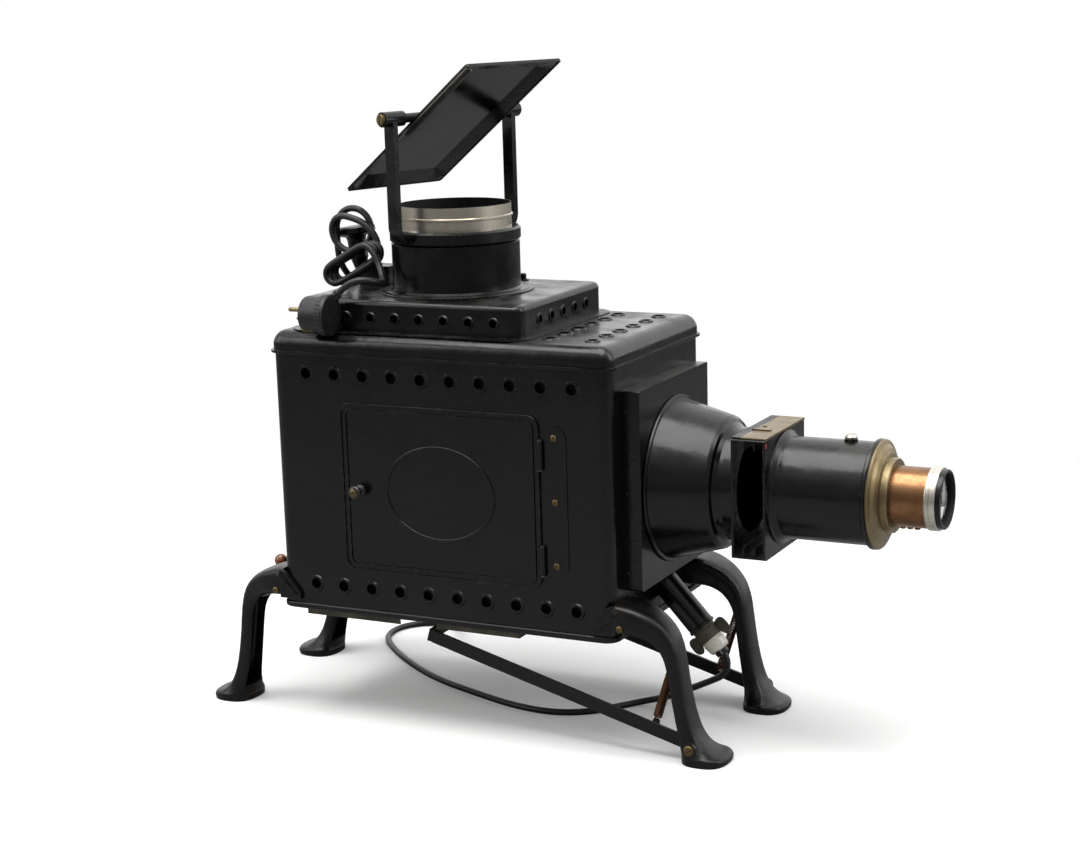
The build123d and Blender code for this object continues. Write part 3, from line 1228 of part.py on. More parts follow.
with BuildPart() as frame_pivot_screws:
    for y, side in ((boss_out, 1), (body_depth - boss_out, -1)):
        stand = Plane(origin=(pivot_place.X, y_front + y, pivot_place.Z), x_dir=(0, -side, 0),
                      z_dir=(0, 0, 1))
        reach = frame_from_wall + bar_thickness + 3 - boss_out
        turned([(-reach, 0), (-reach, pivot_radius), (0.02, pivot_radius), (0.02, 5.6), (1.6, 5.6),
                (2.6, 4.4), (3, 2),
                (3, 0)], stand)
        with BuildSketch(Plane(origin=stand.from_local_coords((3, 0, 0)), x_dir=(1, 0, 0),
                               z_dir=(0, -side, 0))):
            Rectangle(14, 1.2, rotation=30)
        extrude(amount=-1.6, mode=Mode.SUBTRACT)

pin_place = arm_plane.from_local_coords((ear_x, stage_ear_height, 0))
stage_top = pin_place.Z + 6.0
stage_low = stage_top - stage_edge - 0.5
stage_x = x_left + stage_from_left
stage_y = y_middle - stage_depth / 2
with BuildPart() as stage_plate:
    block((stage_x, stage_y, stage_low), (stage_x + stage_length, stage_y + stage_depth, stage_top))
    block((stage_x + stage_sheet, stage_y + stage_sheet, stage_low - 1),
          (stage_x + stage_length - stage_sheet, stage_y + stage_depth - stage_sheet,
           stage_top - stage_sheet),
          mode=Mode.SUBTRACT)
    fillet(stage_plate.edges().filter_by(Axis.Z), 0.6)
    block((x_left + notch_from_left, stage_y - 1, stage_low - 1),
          (x_left + notch_from_left + notch_length, stage_y + notch_depth, stage_top + 1),
          mode=Mode.SUBTRACT)
    for y, side in ((ear_places[0] + bar_thickness, 1), (ear_places[1], -1)):
        near = y_front + y + side * 0.3
        far = near + side * 8
        knuckle = Plane(origin=(pin_place.X, min(near, far), pin_place.Z), x_dir=(0, 1, 0), z_dir=(0, 0, 1))
        rod(knuckle, 0, 8, 4)
        block((pin_place.X - 2, min(near, far), pin_place.Z),
              (pin_place.X + 2, max(near, far), stage_top - 0.5))
        rod(knuckle, -1, 9, pin_bore, mode=Mode.SUBTRACT)

with BuildPart() as stage_pin:
    stand = Plane(origin=(pin_place.X, y_front, pin_place.Z), x_dir=(0, 1, 0), z_dir=(0, 0, 1))
    pin_start = ear_places[0] - 0.1
    pin_stop = ear_places[1] + bar_thickness + 0.1
    turned([(pin_start - 1.6, 0), (pin_start - 1.6, 3.6), (pin_start, 3.6), (pin_start, stage_pin_radius),
            (pin_stop, stage_pin_radius), (pin_stop, 3.6), (pin_stop + 1.6, 3.6), (pin_stop + 1.6, 0)],
            stand)

hook_reach = 7.0  # from the stud to the first turn
spring_clear = stud_radius + fit_gap  # its hooks stop short of the stud and of the pin in the leg
spring_start = arm_plane.from_local_coords((spring_hook, 3, spring_from_wall))
spring_stop = spring_pin + Vector(0, spring_from_wall, 0)
spring_length = (spring_stop - spring_start).length
spring_axis = Plane(origin=spring_start, x_dir=spring_stop - spring_start, z_dir=(0, 1, 0))
with BuildPart() as one_spring:
    turned([(spring_clear, 0), (spring_clear, spring_neck), (hook_reach, spring_neck),
            (hook_reach, spring_radius - 0.6), (hook_reach + 0.6, spring_radius),
            (spring_length - hook_reach - 0.6, spring_radius),
            (spring_length - hook_reach, spring_radius - 0.6), (spring_length - hook_reach, spring_neck),
            (spring_length - spring_clear, spring_neck), (spring_length - spring_clear, 0)], spring_axis)
with BuildPart() as lever_springs:
    add(one_spring.part)
    mirror(one_spring.part, about=Plane.XZ.offset(-y_middle))

# ---------------------------------------------------------------- cord and plug
cord_radius = cord_diameter / 2
floor_run = cord_radius  # the height of its middle where it lies


def place(x, y, z):
    # From the left end wall, the front wall and the floor.
    return Vector(x_left + x, y_front + y, z)


def ease(t, start, stop):
    w = max(0.0, min(1.0, (t - start) / (stop - start)))
    return w * w * (3 - 2 * w)


def coil_point(t):
    # An upright round loop that opens into leaning ovals, each a little nearer the front; t counts turns.
    w = ease(t, 0.7, 1.7)
    half_long = loop_radius + (oval_length - loop_radius) * w
    half_wide = loop_radius + (oval_width - loop_radius) * w
    tip = math.radians(oval_lean) * w
    angle = math.pi / 2 - 2 * math.pi * t - tip
    u, v = half_long * math.cos(angle), half_wide * math.sin(angle)
    return place(cord_rise + 15 * w + u * math.cos(tip) - v * math.sin(tip), 106.5 - loop_pitch * t,
                 z_hood + 63.8 - 35.1 * w + u * math.sin(tip) + v * math.cos(tip))


def coil_tangent(t):
    return (coil_point(t + 1e-4) - coil_point(t - 1e-4)).normalized()


coil_from = -0.25
coil_to = loop_count + (90 - oval_lean) / 360
coil_start = coil_point(coil_from) - coil_tangent(coil_from) * cord_diameter
coil_end = coil_point(coil_to) + coil_tangent(coil_to) * cord_diameter
lamp_exit = lamp_axis.from_local_coords((porcelain_end + 0.05, 0, 0))
run_points = [lamp_exit, lamp_exit + lamp_direction * 9,
              *(place(*p) for p in (
                  (476.5, 123, 70.5), (469, 127, 59.5), (456, 130.5, 52), (438, 138, 41.8), (415, 150, 29),
                  (388, 163, 14), (362, 166, 5.5), (341, 146, floor_run), (318, 114, floor_run),
                  (280, 96, floor_run), (228, 102, floor_run), (168, 125, floor_run), (104, 152, floor_run),
                  (44, 193, floor_run), (-6, 238, floor_run), (-38, 277, floor_run), (-42, 318, floor_run),
                  (-16, 348, floor_run), (22, 346, 6), (48, 318, 22), (56, 288, 55), (55, 268, 100),
                  (50, 262, 165), (57, 265, 250), (52, 262, 330), (50, 262, 395), (48, 258, 440),
                  (43, 239, 466),
                  (37, 213, 475), (31, 182, 471), (26.6, 158, 470), (25.6, 133, 470))),
              coil_start - coil_tangent(coil_from) * 30, coil_start]

plug_middle = place(82, -4.5, 452.5)
entry_direction = Vector(0.7, 0.1, 0.7).normalized()
entry_base = plug_middle + Vector(-5, 10, 14.5)
entry_length = 10.0
entry_end = entry_base + entry_direction * entry_length
tail_points = [coil_end, coil_end + coil_tangent(coil_to) * 12, *(place(*p) for p in (
    (112.3, 54.3, 483.4), (120.0, 36.5, 482.2), (113.9, 18.3, 488.8))),
    entry_end + entry_direction * 17, entry_end]


def cord_tube(points, name):
    # Straight runs joined by arcs, each as large as its two runs allow.
    radii = []
    for a, b, c in zip(points, points[1:], points[2:]):
        half_turn = math.radians((b - a).get_angle(c - b)) / 2
        radii.append(0.45 * min((b - a).length, (c - b).length) / math.tan(half_turn))
    print(name, "radii", [round(r) for r in radii])
    with BuildPart() as tube:
        with BuildLine() as route:
            FilletPolyline(*points, radius=radii)
        with BuildSketch(Plane(origin=route.line @ 0, z_dir=route.line % 0)) as section:
            Circle(cord_radius)
        sweep(section.sketch, path=route.line)
    length = sum(e.length for e in route.edges())
    print(name, "length", round(length), "volume", round(tube.part.volume / (math.pi * cord_radius ** 2 * length), 5))
    return tube


cord_run = cord_tube(run_points, "cord_run")
cord_tail = cord_tube(tail_points, "cord_tail")

coil_steps = int(4 * (coil_to - coil_from))
coil_times = [coil_from] + [coil_to - 0.25 * i for i in range(coil_steps, -1, -1)]
with BuildPart() as cord_coil:
    with BuildLine() as coil_route:
        Line(coil_start, coil_point(coil_from))
        joined_arcs([coil_point(t) for t in coil_times], [coil_tangent(t) for t in coil_times])
        Line(coil_point(coil_to), coil_end)
    with BuildSketch(Plane(origin=coil_route.line @ 0, z_dir=coil_route.line % 0)):
        Circle(cord_radius)
    sweep(path=coil_route.line)
coil_length = sum(e.length for e in coil_route.edges())
coil_places = [edge @ (i / 12) for edge in coil_route.edges() for i in range(12)]
print("coil: least gap to itself", round(least_gap([tuple(q) for q in coil_places], cord_diameter, 24), 2),
      "lowest above the hood", round(min(q.Z for q in coil_places) - cord_radius - z_hood, 2))
coil_ratio = cord_coil.part.volume / (math.pi * cord_radius ** 2 * coil_length)
print("coil length", round(coil_length), "volume", round(coil_ratio, 5))

plug_axis = Plane(origin=plug_middle, x_dir=(-1, 0, 0), z_dir=(0, 1, 0))
pin_line = Vector(0, -math.cos(math.radians(pin_turn)), math.sin(math.radians(pin_turn)))
clip_line = Vector(0, math.sin(math.radians(pin_turn)), math.cos(math.radians(pin_turn)))
pin_places = [plug_middle + pin_line * (side * pin_spread / 2) for side in (1, -1)]
body_radius = plug_radius - 1.6
clip_planes = [Plane(origin=plug_middle + clip_line * side * (body_radius - 1.4), x_dir=(-1, 0, 0),
                     z_dir=clip_line * side) for side in (1, -1)]
rib_count = 30
with BuildPart() as plug_body:
    turned([(0, 0), (0, plug_radius - 2), (0.8, plug_radius - 0.6), (2, plug_radius),
            (plug_rim - 1, plug_radius),
            (plug_rim, plug_radius - 0.8), (plug_rim + 0.6, body_radius),
            (plug_length - 4, body_radius - 0.4),
            (plug_length - 1, body_radius - 1.2), (plug_length, body_radius - 2.6), (plug_length, 0)],
            plug_axis)
    # grooves in the rim for the grip
    for i in range(rib_count):
        a = 2 * math.pi * i / rib_count
        groove = plug_middle + Vector(0, math.cos(a), math.sin(a)) * (plug_radius + 0.1)
        rod(Plane(origin=groove, x_dir=(-1, 0, 0), z_dir=(0, 1, 0)), 3, plug_rim + 1, 0.75,
            mode=Mode.SUBTRACT)
    with BuildSketch(Plane(origin=entry_base, z_dir=entry_direction)):
        Circle(5.2)
    extrude(amount=entry_length)
    for clip in clip_planes:
        with BuildSketch(clip):
            with Locations((plug_length - 7, 0)):
                Rectangle(16, 7)
        extrude(amount=5, mode=Mode.SUBTRACT)
    for pin in pin_places:
        rod(Plane(origin=pin, x_dir=(-1, 0, 0), z_dir=(0, 1, 0)), plug_length - 9, plug_length + 1,
            pin_radius + 0.03,
            mode=Mode.SUBTRACT)

with BuildPart() as plug_pins:
    for pin in pin_places:
        turned([(plug_length - 8.95, 0), (plug_length - 8.95, pin_radius),
                (plug_length + pin_length - 1.4, pin_radius),
                (plug_length + pin_length, pin_radius - 1.2), (plug_length + pin_length, 0)],
               Plane(origin=pin, x_dir=(-1, 0, 0), z_dir=(0, 1, 0)))
    for clip in clip_planes:
        with BuildSketch(clip.offset(0.02)):
            with Locations((plug_length - 7.5, 0)):
                RectangleRounded(14.6, 5, 1)
        extrude(amount=1)

# ---------------------------------------------------------------- one file for each piece
pieces = {
    "housing_shell": housing_shell, "seam_rivets": seam_rivets, "base_plate": base_plate,
    "top_cover": top_cover,
    "hood": hood, "chimney": chimney, "vent_baffles": vent_baffles, "leg_front_right": leg_front_right,
    "leg_front_left": leg_front_left, "leg_back_right": leg_back_right, "leg_back_left": leg_back_left,
    "wall_screws": wall_screws, "front_frame": front_frame, "condenser_cell": condenser_cell,
    "condenser_cone": condenser_cone, "condenser_lenses": condenser_lenses, "slide_gate": slide_gate,
    "gate_spring_plate": gate_spring_plate, "objective_tube": objective_tube, "lamp_sleeve": lamp_sleeve,
    "lamp_reflector": lamp_reflector, "hinge_leaf": hinge_leaf, "hinge_pin": hinge_pin,
    "lever_box": lever_box,
    "hood_stud": hood_stud, "door": door, "door_knob": door_knob, "latch_tongue": latch_tongue,
    "knob_screw": knob_screw, "yoke": yoke, "mirror_pivot_screws": pivot_screws, "mirror_tray": mirror_tray,
    "mirror_glass": mirror_glass, "mirror_clip": mirror_clip, "episcope_barrel": episcope_barrel,
    "episcope_lenses": episcope_lenses, "hood_lever": hood_lever, "changeover_lever": changeover_lever,
    "lever_ball": lever_ball, "changeover_flap": changeover_flap, "lever_frame": lever_frame,
    "frame_pivot_screws": frame_pivot_screws, "lever_springs": lever_springs, "stage_plate": stage_plate,
    "stage_pin": stage_pin, "objective_flange": objective_flange, "lens_barrel": lens_barrel,
    "focus_ring": focus_ring, "lens_cell": lens_cell, "objective_lenses": objective_lenses,
    "clamp_screw": clamp_screw, "lamp_holder": lamp_holder, "porcelain": porcelain, "cord_grip": cord_grip,
    "lamp_bulb": lamp_bulb, "cord_run": cord_run, "cord_coil": cord_coil, "cord_tail": cord_tail,
    "plug_body": plug_body, "plug_pins": plug_pins,
}
for name, piece in pieces.items():
    piece.part.label = name
    export_step(piece.part, f"parts/{name}.step")
print(len(pieces), "pieces")
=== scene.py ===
# Opaque projector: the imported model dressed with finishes, its cord, springs and plug, on a white floor.
import math

import bmesh
import bpy
from mathutils import Matrix, Vector


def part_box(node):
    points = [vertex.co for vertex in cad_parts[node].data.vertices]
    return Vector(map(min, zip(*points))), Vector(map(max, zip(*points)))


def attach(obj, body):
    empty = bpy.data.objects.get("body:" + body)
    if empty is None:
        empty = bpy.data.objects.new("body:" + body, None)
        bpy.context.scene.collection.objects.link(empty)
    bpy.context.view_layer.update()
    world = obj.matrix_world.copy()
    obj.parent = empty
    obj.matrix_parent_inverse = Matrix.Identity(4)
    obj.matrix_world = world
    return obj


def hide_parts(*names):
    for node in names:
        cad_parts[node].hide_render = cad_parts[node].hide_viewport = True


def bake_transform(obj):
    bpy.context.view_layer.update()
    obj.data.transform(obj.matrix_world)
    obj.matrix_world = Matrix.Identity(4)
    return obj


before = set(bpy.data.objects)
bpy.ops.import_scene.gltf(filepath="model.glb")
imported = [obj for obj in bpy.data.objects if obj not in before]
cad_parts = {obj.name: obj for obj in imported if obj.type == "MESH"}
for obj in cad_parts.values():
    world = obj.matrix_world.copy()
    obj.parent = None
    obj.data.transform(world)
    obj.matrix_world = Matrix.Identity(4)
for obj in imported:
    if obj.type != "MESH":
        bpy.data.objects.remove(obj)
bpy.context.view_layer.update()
print("frame loaded:", len(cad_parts), "nodes")

millimetre = 0.001
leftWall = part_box("housing_shell")[0].x  # outside of the lamp house's left end
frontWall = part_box("door")[1].y + 0.0003  # outside of its front wall


def place(x, y, z):
    # Millimetres from the left end wall, the front wall and the floor, as in the part's source.
    return Vector((leftWall + x * millimetre, frontWall + y * millimetre, z * millimetre))


# ---- colours and nodes

def linearColour(hexCode):
    channels = [int(hexCode[i:i + 2], 16) / 255 for i in (1, 3, 5)]
    return tuple(c / 12.92 if c <= 0.04045 else ((c + 0.055) / 1.055) ** 2.4 for c in channels) + (1.0,)


def addNode(tree, kind, inputs=None, **settings):
    node = tree.nodes.new(kind)
    for name, value in settings.items():
        setattr(node, name, value)
    for name, value in (inputs or {}).items():
        if isinstance(value, bpy.types.NodeSocket):
            tree.links.new(value, node.inputs[name])
        else:
            node.inputs[name].default_value = value
    return node


def startMaterial(name, **sockets):
    material = bpy.data.materials.new(name)
    material.use_nodes = True
    tree = material.node_tree
    shader = tree.nodes["Principled BSDF"]
    for socket, value in sockets.items():
        shader.inputs[socket.replace("_", " ")].default_value = value
    return material, tree, shader


def grain(tree, grainMm, detail=4.0, stretch=(1, 1, 1), roughness=0.55):
    # Noise whose features are about grainMm across, in the object's own metres.
    where = addNode(tree, "ShaderNodeTexCoord").outputs["Object"]
    scaled = addNode(tree, "ShaderNodeVectorMath", {0: where, 1: stretch}, operation="MULTIPLY").outputs[0]
    return addNode(tree, "ShaderNodeTexNoise", {"Vector": scaled, "Scale": 1 / (grainMm * millimetre),
                                                "Detail": detail, "Roughness": roughness}).outputs["Fac"]


def ramp(tree, value, low, high, darkEnd=0.0, lightEnd=1.0):
    return addNode(tree, "ShaderNodeMapRange", {"Value": value, "From Min": low, "From Max": high,
                                                "To Min": darkEnd, "To Max": lightEnd}).outputs["Result"]


def blendColours(tree, share, first, second):
    node = addNode(tree, "ShaderNodeMix", data_type="RGBA")
    for socket, value in ((node.inputs[0], share), (node.inputs[6], first), (node.inputs[7], second)):
        if isinstance(value, bpy.types.NodeSocket):
            tree.links.new(value, socket)
        else:
            socket.default_value = linearColour(value) if isinstance(value, str) else value
    return node.outputs[2]


def multiply(tree, first, second):
    return addNode(tree, "ShaderNodeMath", {0: first, 1: second}, operation="MULTIPLY").outputs[0]


def add(tree, first, second):
    return addNode(tree, "ShaderNodeMath", {0: first, 1: second}, operation="ADD").outputs[0]


def edgeWear(tree, radiusMm, sharpest):
    # Share of a corner in sight: 0 on a flat, 1 where the face turns within radiusMm.
    soft = addNode(tree, "ShaderNodeBevel", {"Radius": radiusMm * millimetre}, samples=4).outputs["Normal"]
    true = addNode(tree, "ShaderNodeNewGeometry").outputs["Normal"]
    alike = addNode(tree, "ShaderNodeVectorMath", {0: soft, 1: true},
                    operation="DOT_PRODUCT").outputs["Value"]
    return ramp(tree, alike, 1.0, sharpest)


def addBump(tree, shader, heights, distanceMm):
    bump = addNode(tree, "ShaderNodeBump", {"Height": heights, "Distance": distanceMm * millimetre,
                                            "Strength": 1.0})
    tree.links.new(bump.outputs["Normal"], shader.inputs["Normal"])


# ---- camera

cameraView = {
    "stand": (1272.62, -1905.10, 785.93),  # from the same zero as place()
    "yaw": 0.45841, "pitch": 0.21664, "roll": -0.02765,  # radians, pitch downwards
    "lens": 71.02, "sensor": 36.0,
    "shift": (-0.0092, 0.0215),
}


def makeCamera(view):
    yaw, pitch, roll = view["yaw"], view["pitch"], view["roll"]
    ahead = Vector((-math.sin(yaw) * math.cos(pitch), math.cos(yaw) * math.cos(pitch), -math.sin(pitch)))
    level = Vector((math.cos(yaw), math.sin(yaw), 0))
    upright = level.cross(ahead)
    right = math.cos(roll) * level + math.sin(roll) * upright
    up = math.cos(roll) * upright - math.sin(roll) * level
    camera = bpy.data.objects.new("camera", bpy.data.cameras.new("camera"))
    camera.matrix_world = Matrix((right, up, -ahead)).transposed().to_4x4()
    camera.location = place(*view["stand"])
    camera.data.lens = view["lens"]
    camera.data.sensor_width = view["sensor"]
    camera.data.shift_x, camera.data.shift_y = view["shift"]
    camera.data.clip_end = 50
    bpy.context.scene.collection.objects.link(camera)
    bpy.context.scene.camera = camera


makeCamera(cameraView)
print("camera set")

# ---- studio

studio = {
    "floorSide": 24.0,
    "floorPaint": "#b4b4b3",  # what lamps and dull faces see
    "floorGloss": "#9c9c9c",  # what lacquer and metal mirror
    "shadowLift": 0.11,  # keeps the shadows on the paper as pale as photographed
    "plainPaper": (0.75, 1.5),  # metres from the middle over which the paper turns plain white
    "air": {"mirroredInFront": 0.27, "mirroredBehind": 1.35, "mirroredOverhead": 1.0, "fill": 0.30},
    "lamps": {
        # name: (place, size in metres, watts, aim)
        "overhead": ((250, -250, 2300), (2.2, 1.6), 60, (330, 60, 300)),
        "leftWindow": ((-1700, -1300, 1500), (1.6, 1.6), 22, (200, 60, 300)),
        "rightStrip": ((2300, 500, 1500), (0.8, 1.8), 16, (500, 60, 300)),
    },
}


def makeStudio(values):
    bpy.ops.mesh.primitive_grid_add(x_subdivisions=4, y_subdivisions=4, size=values["floorSide"],
                                    location=(0, 0, 0))
    floor = bpy.context.object
    floor.name = "floor"
    # photographer's white paper: the camera sees it as white, with the object's shadow kept
    material, tree, shader = startMaterial("whitePaperFloor", Roughness=0.9)
    shader.inputs["Specular IOR Level"].default_value = 0.0
    shader.inputs["Base Color"].default_value = linearColour(values["floorPaint"])
    seen = addNode(tree, "ShaderNodeLightPath").outputs["Is Camera Ray"]
    white = addNode(tree, "ShaderNodeBsdfDiffuse", {"Color": linearColour("#fcfcfb")})
    lift = addNode(tree, "ShaderNodeEmission", {"Color": (1, 1, 1, 1), "Strength": values["shadowLift"]})
    paper = addNode(tree, "ShaderNodeAddShader", {0: white.outputs[0], 1: lift.outputs[0]})
    # further off, where the object throws no shadow, the paper is plain white
    away = addNode(tree, "ShaderNodeVectorMath", {0: addNode(tree, "ShaderNodeTexCoord").outputs["Object"]},
                   operation="LENGTH").outputs["Value"]
    plain = addNode(tree, "ShaderNodeEmission", {"Color": (1, 1, 1, 1), "Strength": 1.0})
    faded = ramp(tree, away, *values["plainPaper"])
    paper = addNode(tree, "ShaderNodeMixShader", {0: faded, 1: paper.outputs[0], 2: plain.outputs[0]})
    mirrored = addNode(tree, "ShaderNodeLightPath").outputs["Is Glossy Ray"]
    dark = addNode(tree, "ShaderNodeBsdfDiffuse", {"Color": linearColour(values["floorGloss"])})
    unseen = addNode(tree, "ShaderNodeMixShader", {0: mirrored, 1: shader.outputs[0], 2: dark.outputs[0]})
    both = addNode(tree, "ShaderNodeMixShader", {0: seen, 1: unseen.outputs[0], 2: paper.outputs[0]})
    tree.links.new(both.outputs[0], tree.nodes["Material Output"].inputs["Surface"])
    floor.data.materials.append(material)

    world = bpy.data.worlds.new("studioAir")
    bpy.context.scene.world = world
    world.use_nodes = True
    tree = world.node_tree
    path = addNode(tree, "ShaderNodeLightPath").outputs
    direct = addNode(tree, "ShaderNodeMath", {0: path["Is Camera Ray"], 1: path["Is Transmission Ray"]},
                     operation="MAXIMUM").outputs[0]
    # lacquer and metal mirror a dim room in front, brighter behind and overhead
    heading = addNode(tree, "ShaderNodeSeparateXYZ",
                      {0: addNode(tree, "ShaderNodeTexCoord").outputs["Generated"]})
    air = values["air"]
    around = ramp(tree, heading.outputs["Y"], -0.5, 0.6, air["mirroredInFront"], air["mirroredBehind"])
    above = ramp(tree, heading.outputs["Z"], 0.25, 0.8, 0.0, air["mirroredOverhead"])
    room = addNode(tree, "ShaderNodeMath", {0: around, 1: above}, operation="MAXIMUM").outputs[0]
    dim = addNode(tree, "ShaderNodeMix", {0: path["Is Glossy Ray"], 2: air["fill"], 3: room},
                  data_type="FLOAT").outputs[0]
    strength = addNode(tree, "ShaderNodeMix", {0: direct, 2: dim, 3: 1.0}, data_type="FLOAT").outputs[0]
    tree.links.new(strength, tree.nodes["Background"].inputs["Strength"])
    tree.nodes["Background"].inputs["Color"].default_value = (1, 1, 1, 1)

    for name, (spot, size, watts, aim) in values["lamps"].items():
        lamp = bpy.data.lights.new(name, "AREA")
        lamp.shape = "RECTANGLE"
        lamp.size, lamp.size_y = size
        lamp.energy = watts
        holder = bpy.data.objects.new(name, lamp)
        holder.location = place(*spot)
        holder.rotation_mode = "QUATERNION"
        holder.rotation_quaternion = (place(*aim) - place(*spot)).to_track_quat("-Z", "Y")
        bpy.context.scene.collection.objects.link(holder)
    bpy.context.scene.view_settings.view_transform = "Standard"


makeStudio(studio)
print("studio lit")

# ---- finishes

def makeJapannedSteel(name="japannedSteel", wear=1.0, dust=1.0, gloss=0.22):
    # Sheet steel with baked black japan: deep gloss, slight orange peel, handling scratches,
    # rubbed corners where dull steel shows and a little dust that lies on level faces.
    material, tree, shader = startMaterial(name, Metallic=0.0, Roughness=gloss)
    shader.inputs["Specular IOR Level"].default_value = 0.40
    cloud = grain(tree, 70, 3.0)
    base = blendColours(tree, ramp(tree, cloud, 0.35, 0.7), "#030303", "#090908")
    upward = addNode(tree, "ShaderNodeSeparateXYZ",
                     {0: addNode(tree, "ShaderNodeNewGeometry").outputs["Normal"]}).outputs["Z"]
    level = ramp(tree, upward, 0.55, 1.0)
    specks = ramp(tree, grain(tree, 2.2, 5.0, roughness=0.7), 0.56, 0.72)  # dust motes, about 1 to 2 mm
    film = ramp(tree, grain(tree, 45, 4.0), 0.42, 0.75)
    dusty = multiply(tree, level, addNode(tree, "ShaderNodeMath", {0: multiply(tree, specks, 0.5), 1: film},
                                          operation="MAXIMUM").outputs[0])
    dustShare = multiply(tree, dusty, 0.09 * dust)
    base = blendColours(tree, dustShare, base, "#8d8a82")
    # scratches: long thin streaks, 0.4 mm wide and 25 mm long
    streak = grain(tree, 1.0, 2.0, (2.2, 2.0, 0.09), 0.6)
    streakToo = grain(tree, 1.0, 2.0, (0.05, 0.9, 2.2), 0.6)
    lines = addNode(tree, "ShaderNodeMath",
                    {0: ramp(tree, streak, 0.68, 0.73), 1: ramp(tree, streakToo, 0.69, 0.74)},
                    operation="MAXIMUM").outputs[0]
    base = blendColours(tree, multiply(tree, lines, 0.05 * wear), base, "#6d6a64")
    # rubbed corners, broken up by 9 mm patches
    patches = ramp(tree, grain(tree, 9, 5.0, roughness=0.65), 0.53, 0.62)
    rub = multiply(tree, edgeWear(tree, 0.9, 0.72), patches)
    rub = multiply(tree, rub, 0.60 * wear)
    base = blendColours(tree, rub, base, "#6a655c")
    tree.links.new(base, shader.inputs["Base Color"])
    shine = ramp(tree, grain(tree, 30, 5.0), 0.3, 0.75, gloss - 0.07, gloss + 0.10)
    dull = add(tree, add(tree, shine, multiply(tree, dusty, 0.25 * dust)), multiply(tree, lines, 0.12))
    tree.links.new(dull, shader.inputs["Roughness"])
    peel = add(tree, grain(tree, 26, 3.0), multiply(tree, grain(tree, 3.0, 2.0), 0.05))
    addBump(tree, shader, peel, 0.45)
    return material


def makeCastEnamel():
    # Cast iron under black enamel: grain of the sand mould, brown rust where the paint has gone.
    material, tree, shader = startMaterial("enamelledCastIron", Metallic=0.0, Roughness=0.36)
    shader.inputs["Specular IOR Level"].default_value = 0.32
    patch = ramp(tree, grain(tree, 38, 6.0, roughness=0.62), 0.56, 0.70)
    base = blendColours(tree, ramp(tree, grain(tree, 60, 3.0), 0.35, 0.7), "#070707", "#0f0d0c")
    base = blendColours(tree, multiply(tree, patch, 0.30), base, "#321d14")
    rub = multiply(tree, edgeWear(tree, 1.6, 0.82), ramp(tree, grain(tree, 7, 5.0), 0.45, 0.6))
    base = blendColours(tree, multiply(tree, rub, 0.6), base, "#54483e")
    tree.links.new(base, shader.inputs["Base Color"])
    tree.links.new(ramp(tree, grain(tree, 18, 5.0), 0.3, 0.75, 0.24, 0.44), shader.inputs["Roughness"])
    rough = add(tree, grain(tree, 2.4, 3.0), multiply(tree, grain(tree, 22, 3.0), 2.2))
    addBump(tree, shader, rough, 0.28)
    return material


def makePlatedMetal(name, bright, dark, roughness, brush, tarnishMm=26.0, tarnishShare=0.6, spot="#3d3427"):
    # Turned metal: fine tool marks along the brush direction, tarnish in clouds and in small spots.
    material, tree, shader = startMaterial(name, Metallic=1.0, Roughness=roughness)
    clouds = ramp(tree, grain(tree, tarnishMm, 6.0, roughness=0.62), 0.34, 0.72)
    base = blendColours(tree, multiply(tree, clouds, tarnishShare), bright, dark)
    spots = ramp(tree, grain(tree, 4.2, 4.0, roughness=0.7), 0.63, 0.72)
    base = blendColours(tree, multiply(tree, spots, 0.45), base, spot)
    marks = grain(tree, 1.0, 2.0, brush, 0.6)
    base = blendColours(tree, ramp(tree, marks, 0.35, 0.8, 0.0, 0.30), base, dark)
    tree.links.new(base, shader.inputs["Base Color"])
    shine = add(tree, ramp(tree, clouds, 0.0, 1.0, roughness - 0.05, roughness + 0.12),
                ramp(tree, marks, 0.3, 0.8, 0.0, 0.10))
    tree.links.new(shine, shader.inputs["Roughness"])
    addBump(tree, shader, marks, 0.03)
    return material


def makeGlass(name, tint="#f2f6f4", ior=1.52):
    # Optical crown glass, polished.
    material, tree, shader = startMaterial(name, Roughness=0.02, IOR=ior)
    shader.inputs["Transmission Weight"].default_value = 1.0
    smear = ramp(tree, grain(tree, 18, 4.0), 0.45, 0.8, 0.0, 0.08)
    base = blendColours(tree, smear, tint, "#c9ccc6")
    tree.links.new(base, shader.inputs["Base Color"])
    return material


def makeMirrorFace():
    # Silvered plate glass: deep grey, a painted reflection of the black hood it faces, hazed, with fine
    # wiping scratches.
    material, tree, shader = startMaterial("mirrorPaintedDarkReflection", Metallic=1.0, Roughness=0.12)
    wipe = ramp(tree, grain(tree, 1.0, 2.0, (0.06, 1.6, 1.6), 0.6), 0.60, 0.72)
    cloud = ramp(tree, grain(tree, 62, 5.0), 0.36, 0.70)
    # painted reflection: these deep greys stand in for the black hood that the mirror reflects
    base = blendColours(tree, cloud, "#0f1011", "#25272a")
    base = blendColours(tree, multiply(tree, wipe, 0.25), base, "#3c3e40")
    tree.links.new(base, shader.inputs["Base Color"])
    haze = add(tree, add(tree, multiply(tree, cloud, 0.10), multiply(tree, wipe, 0.12)), 0.10)
    tree.links.new(haze, shader.inputs["Roughness"])
    return material


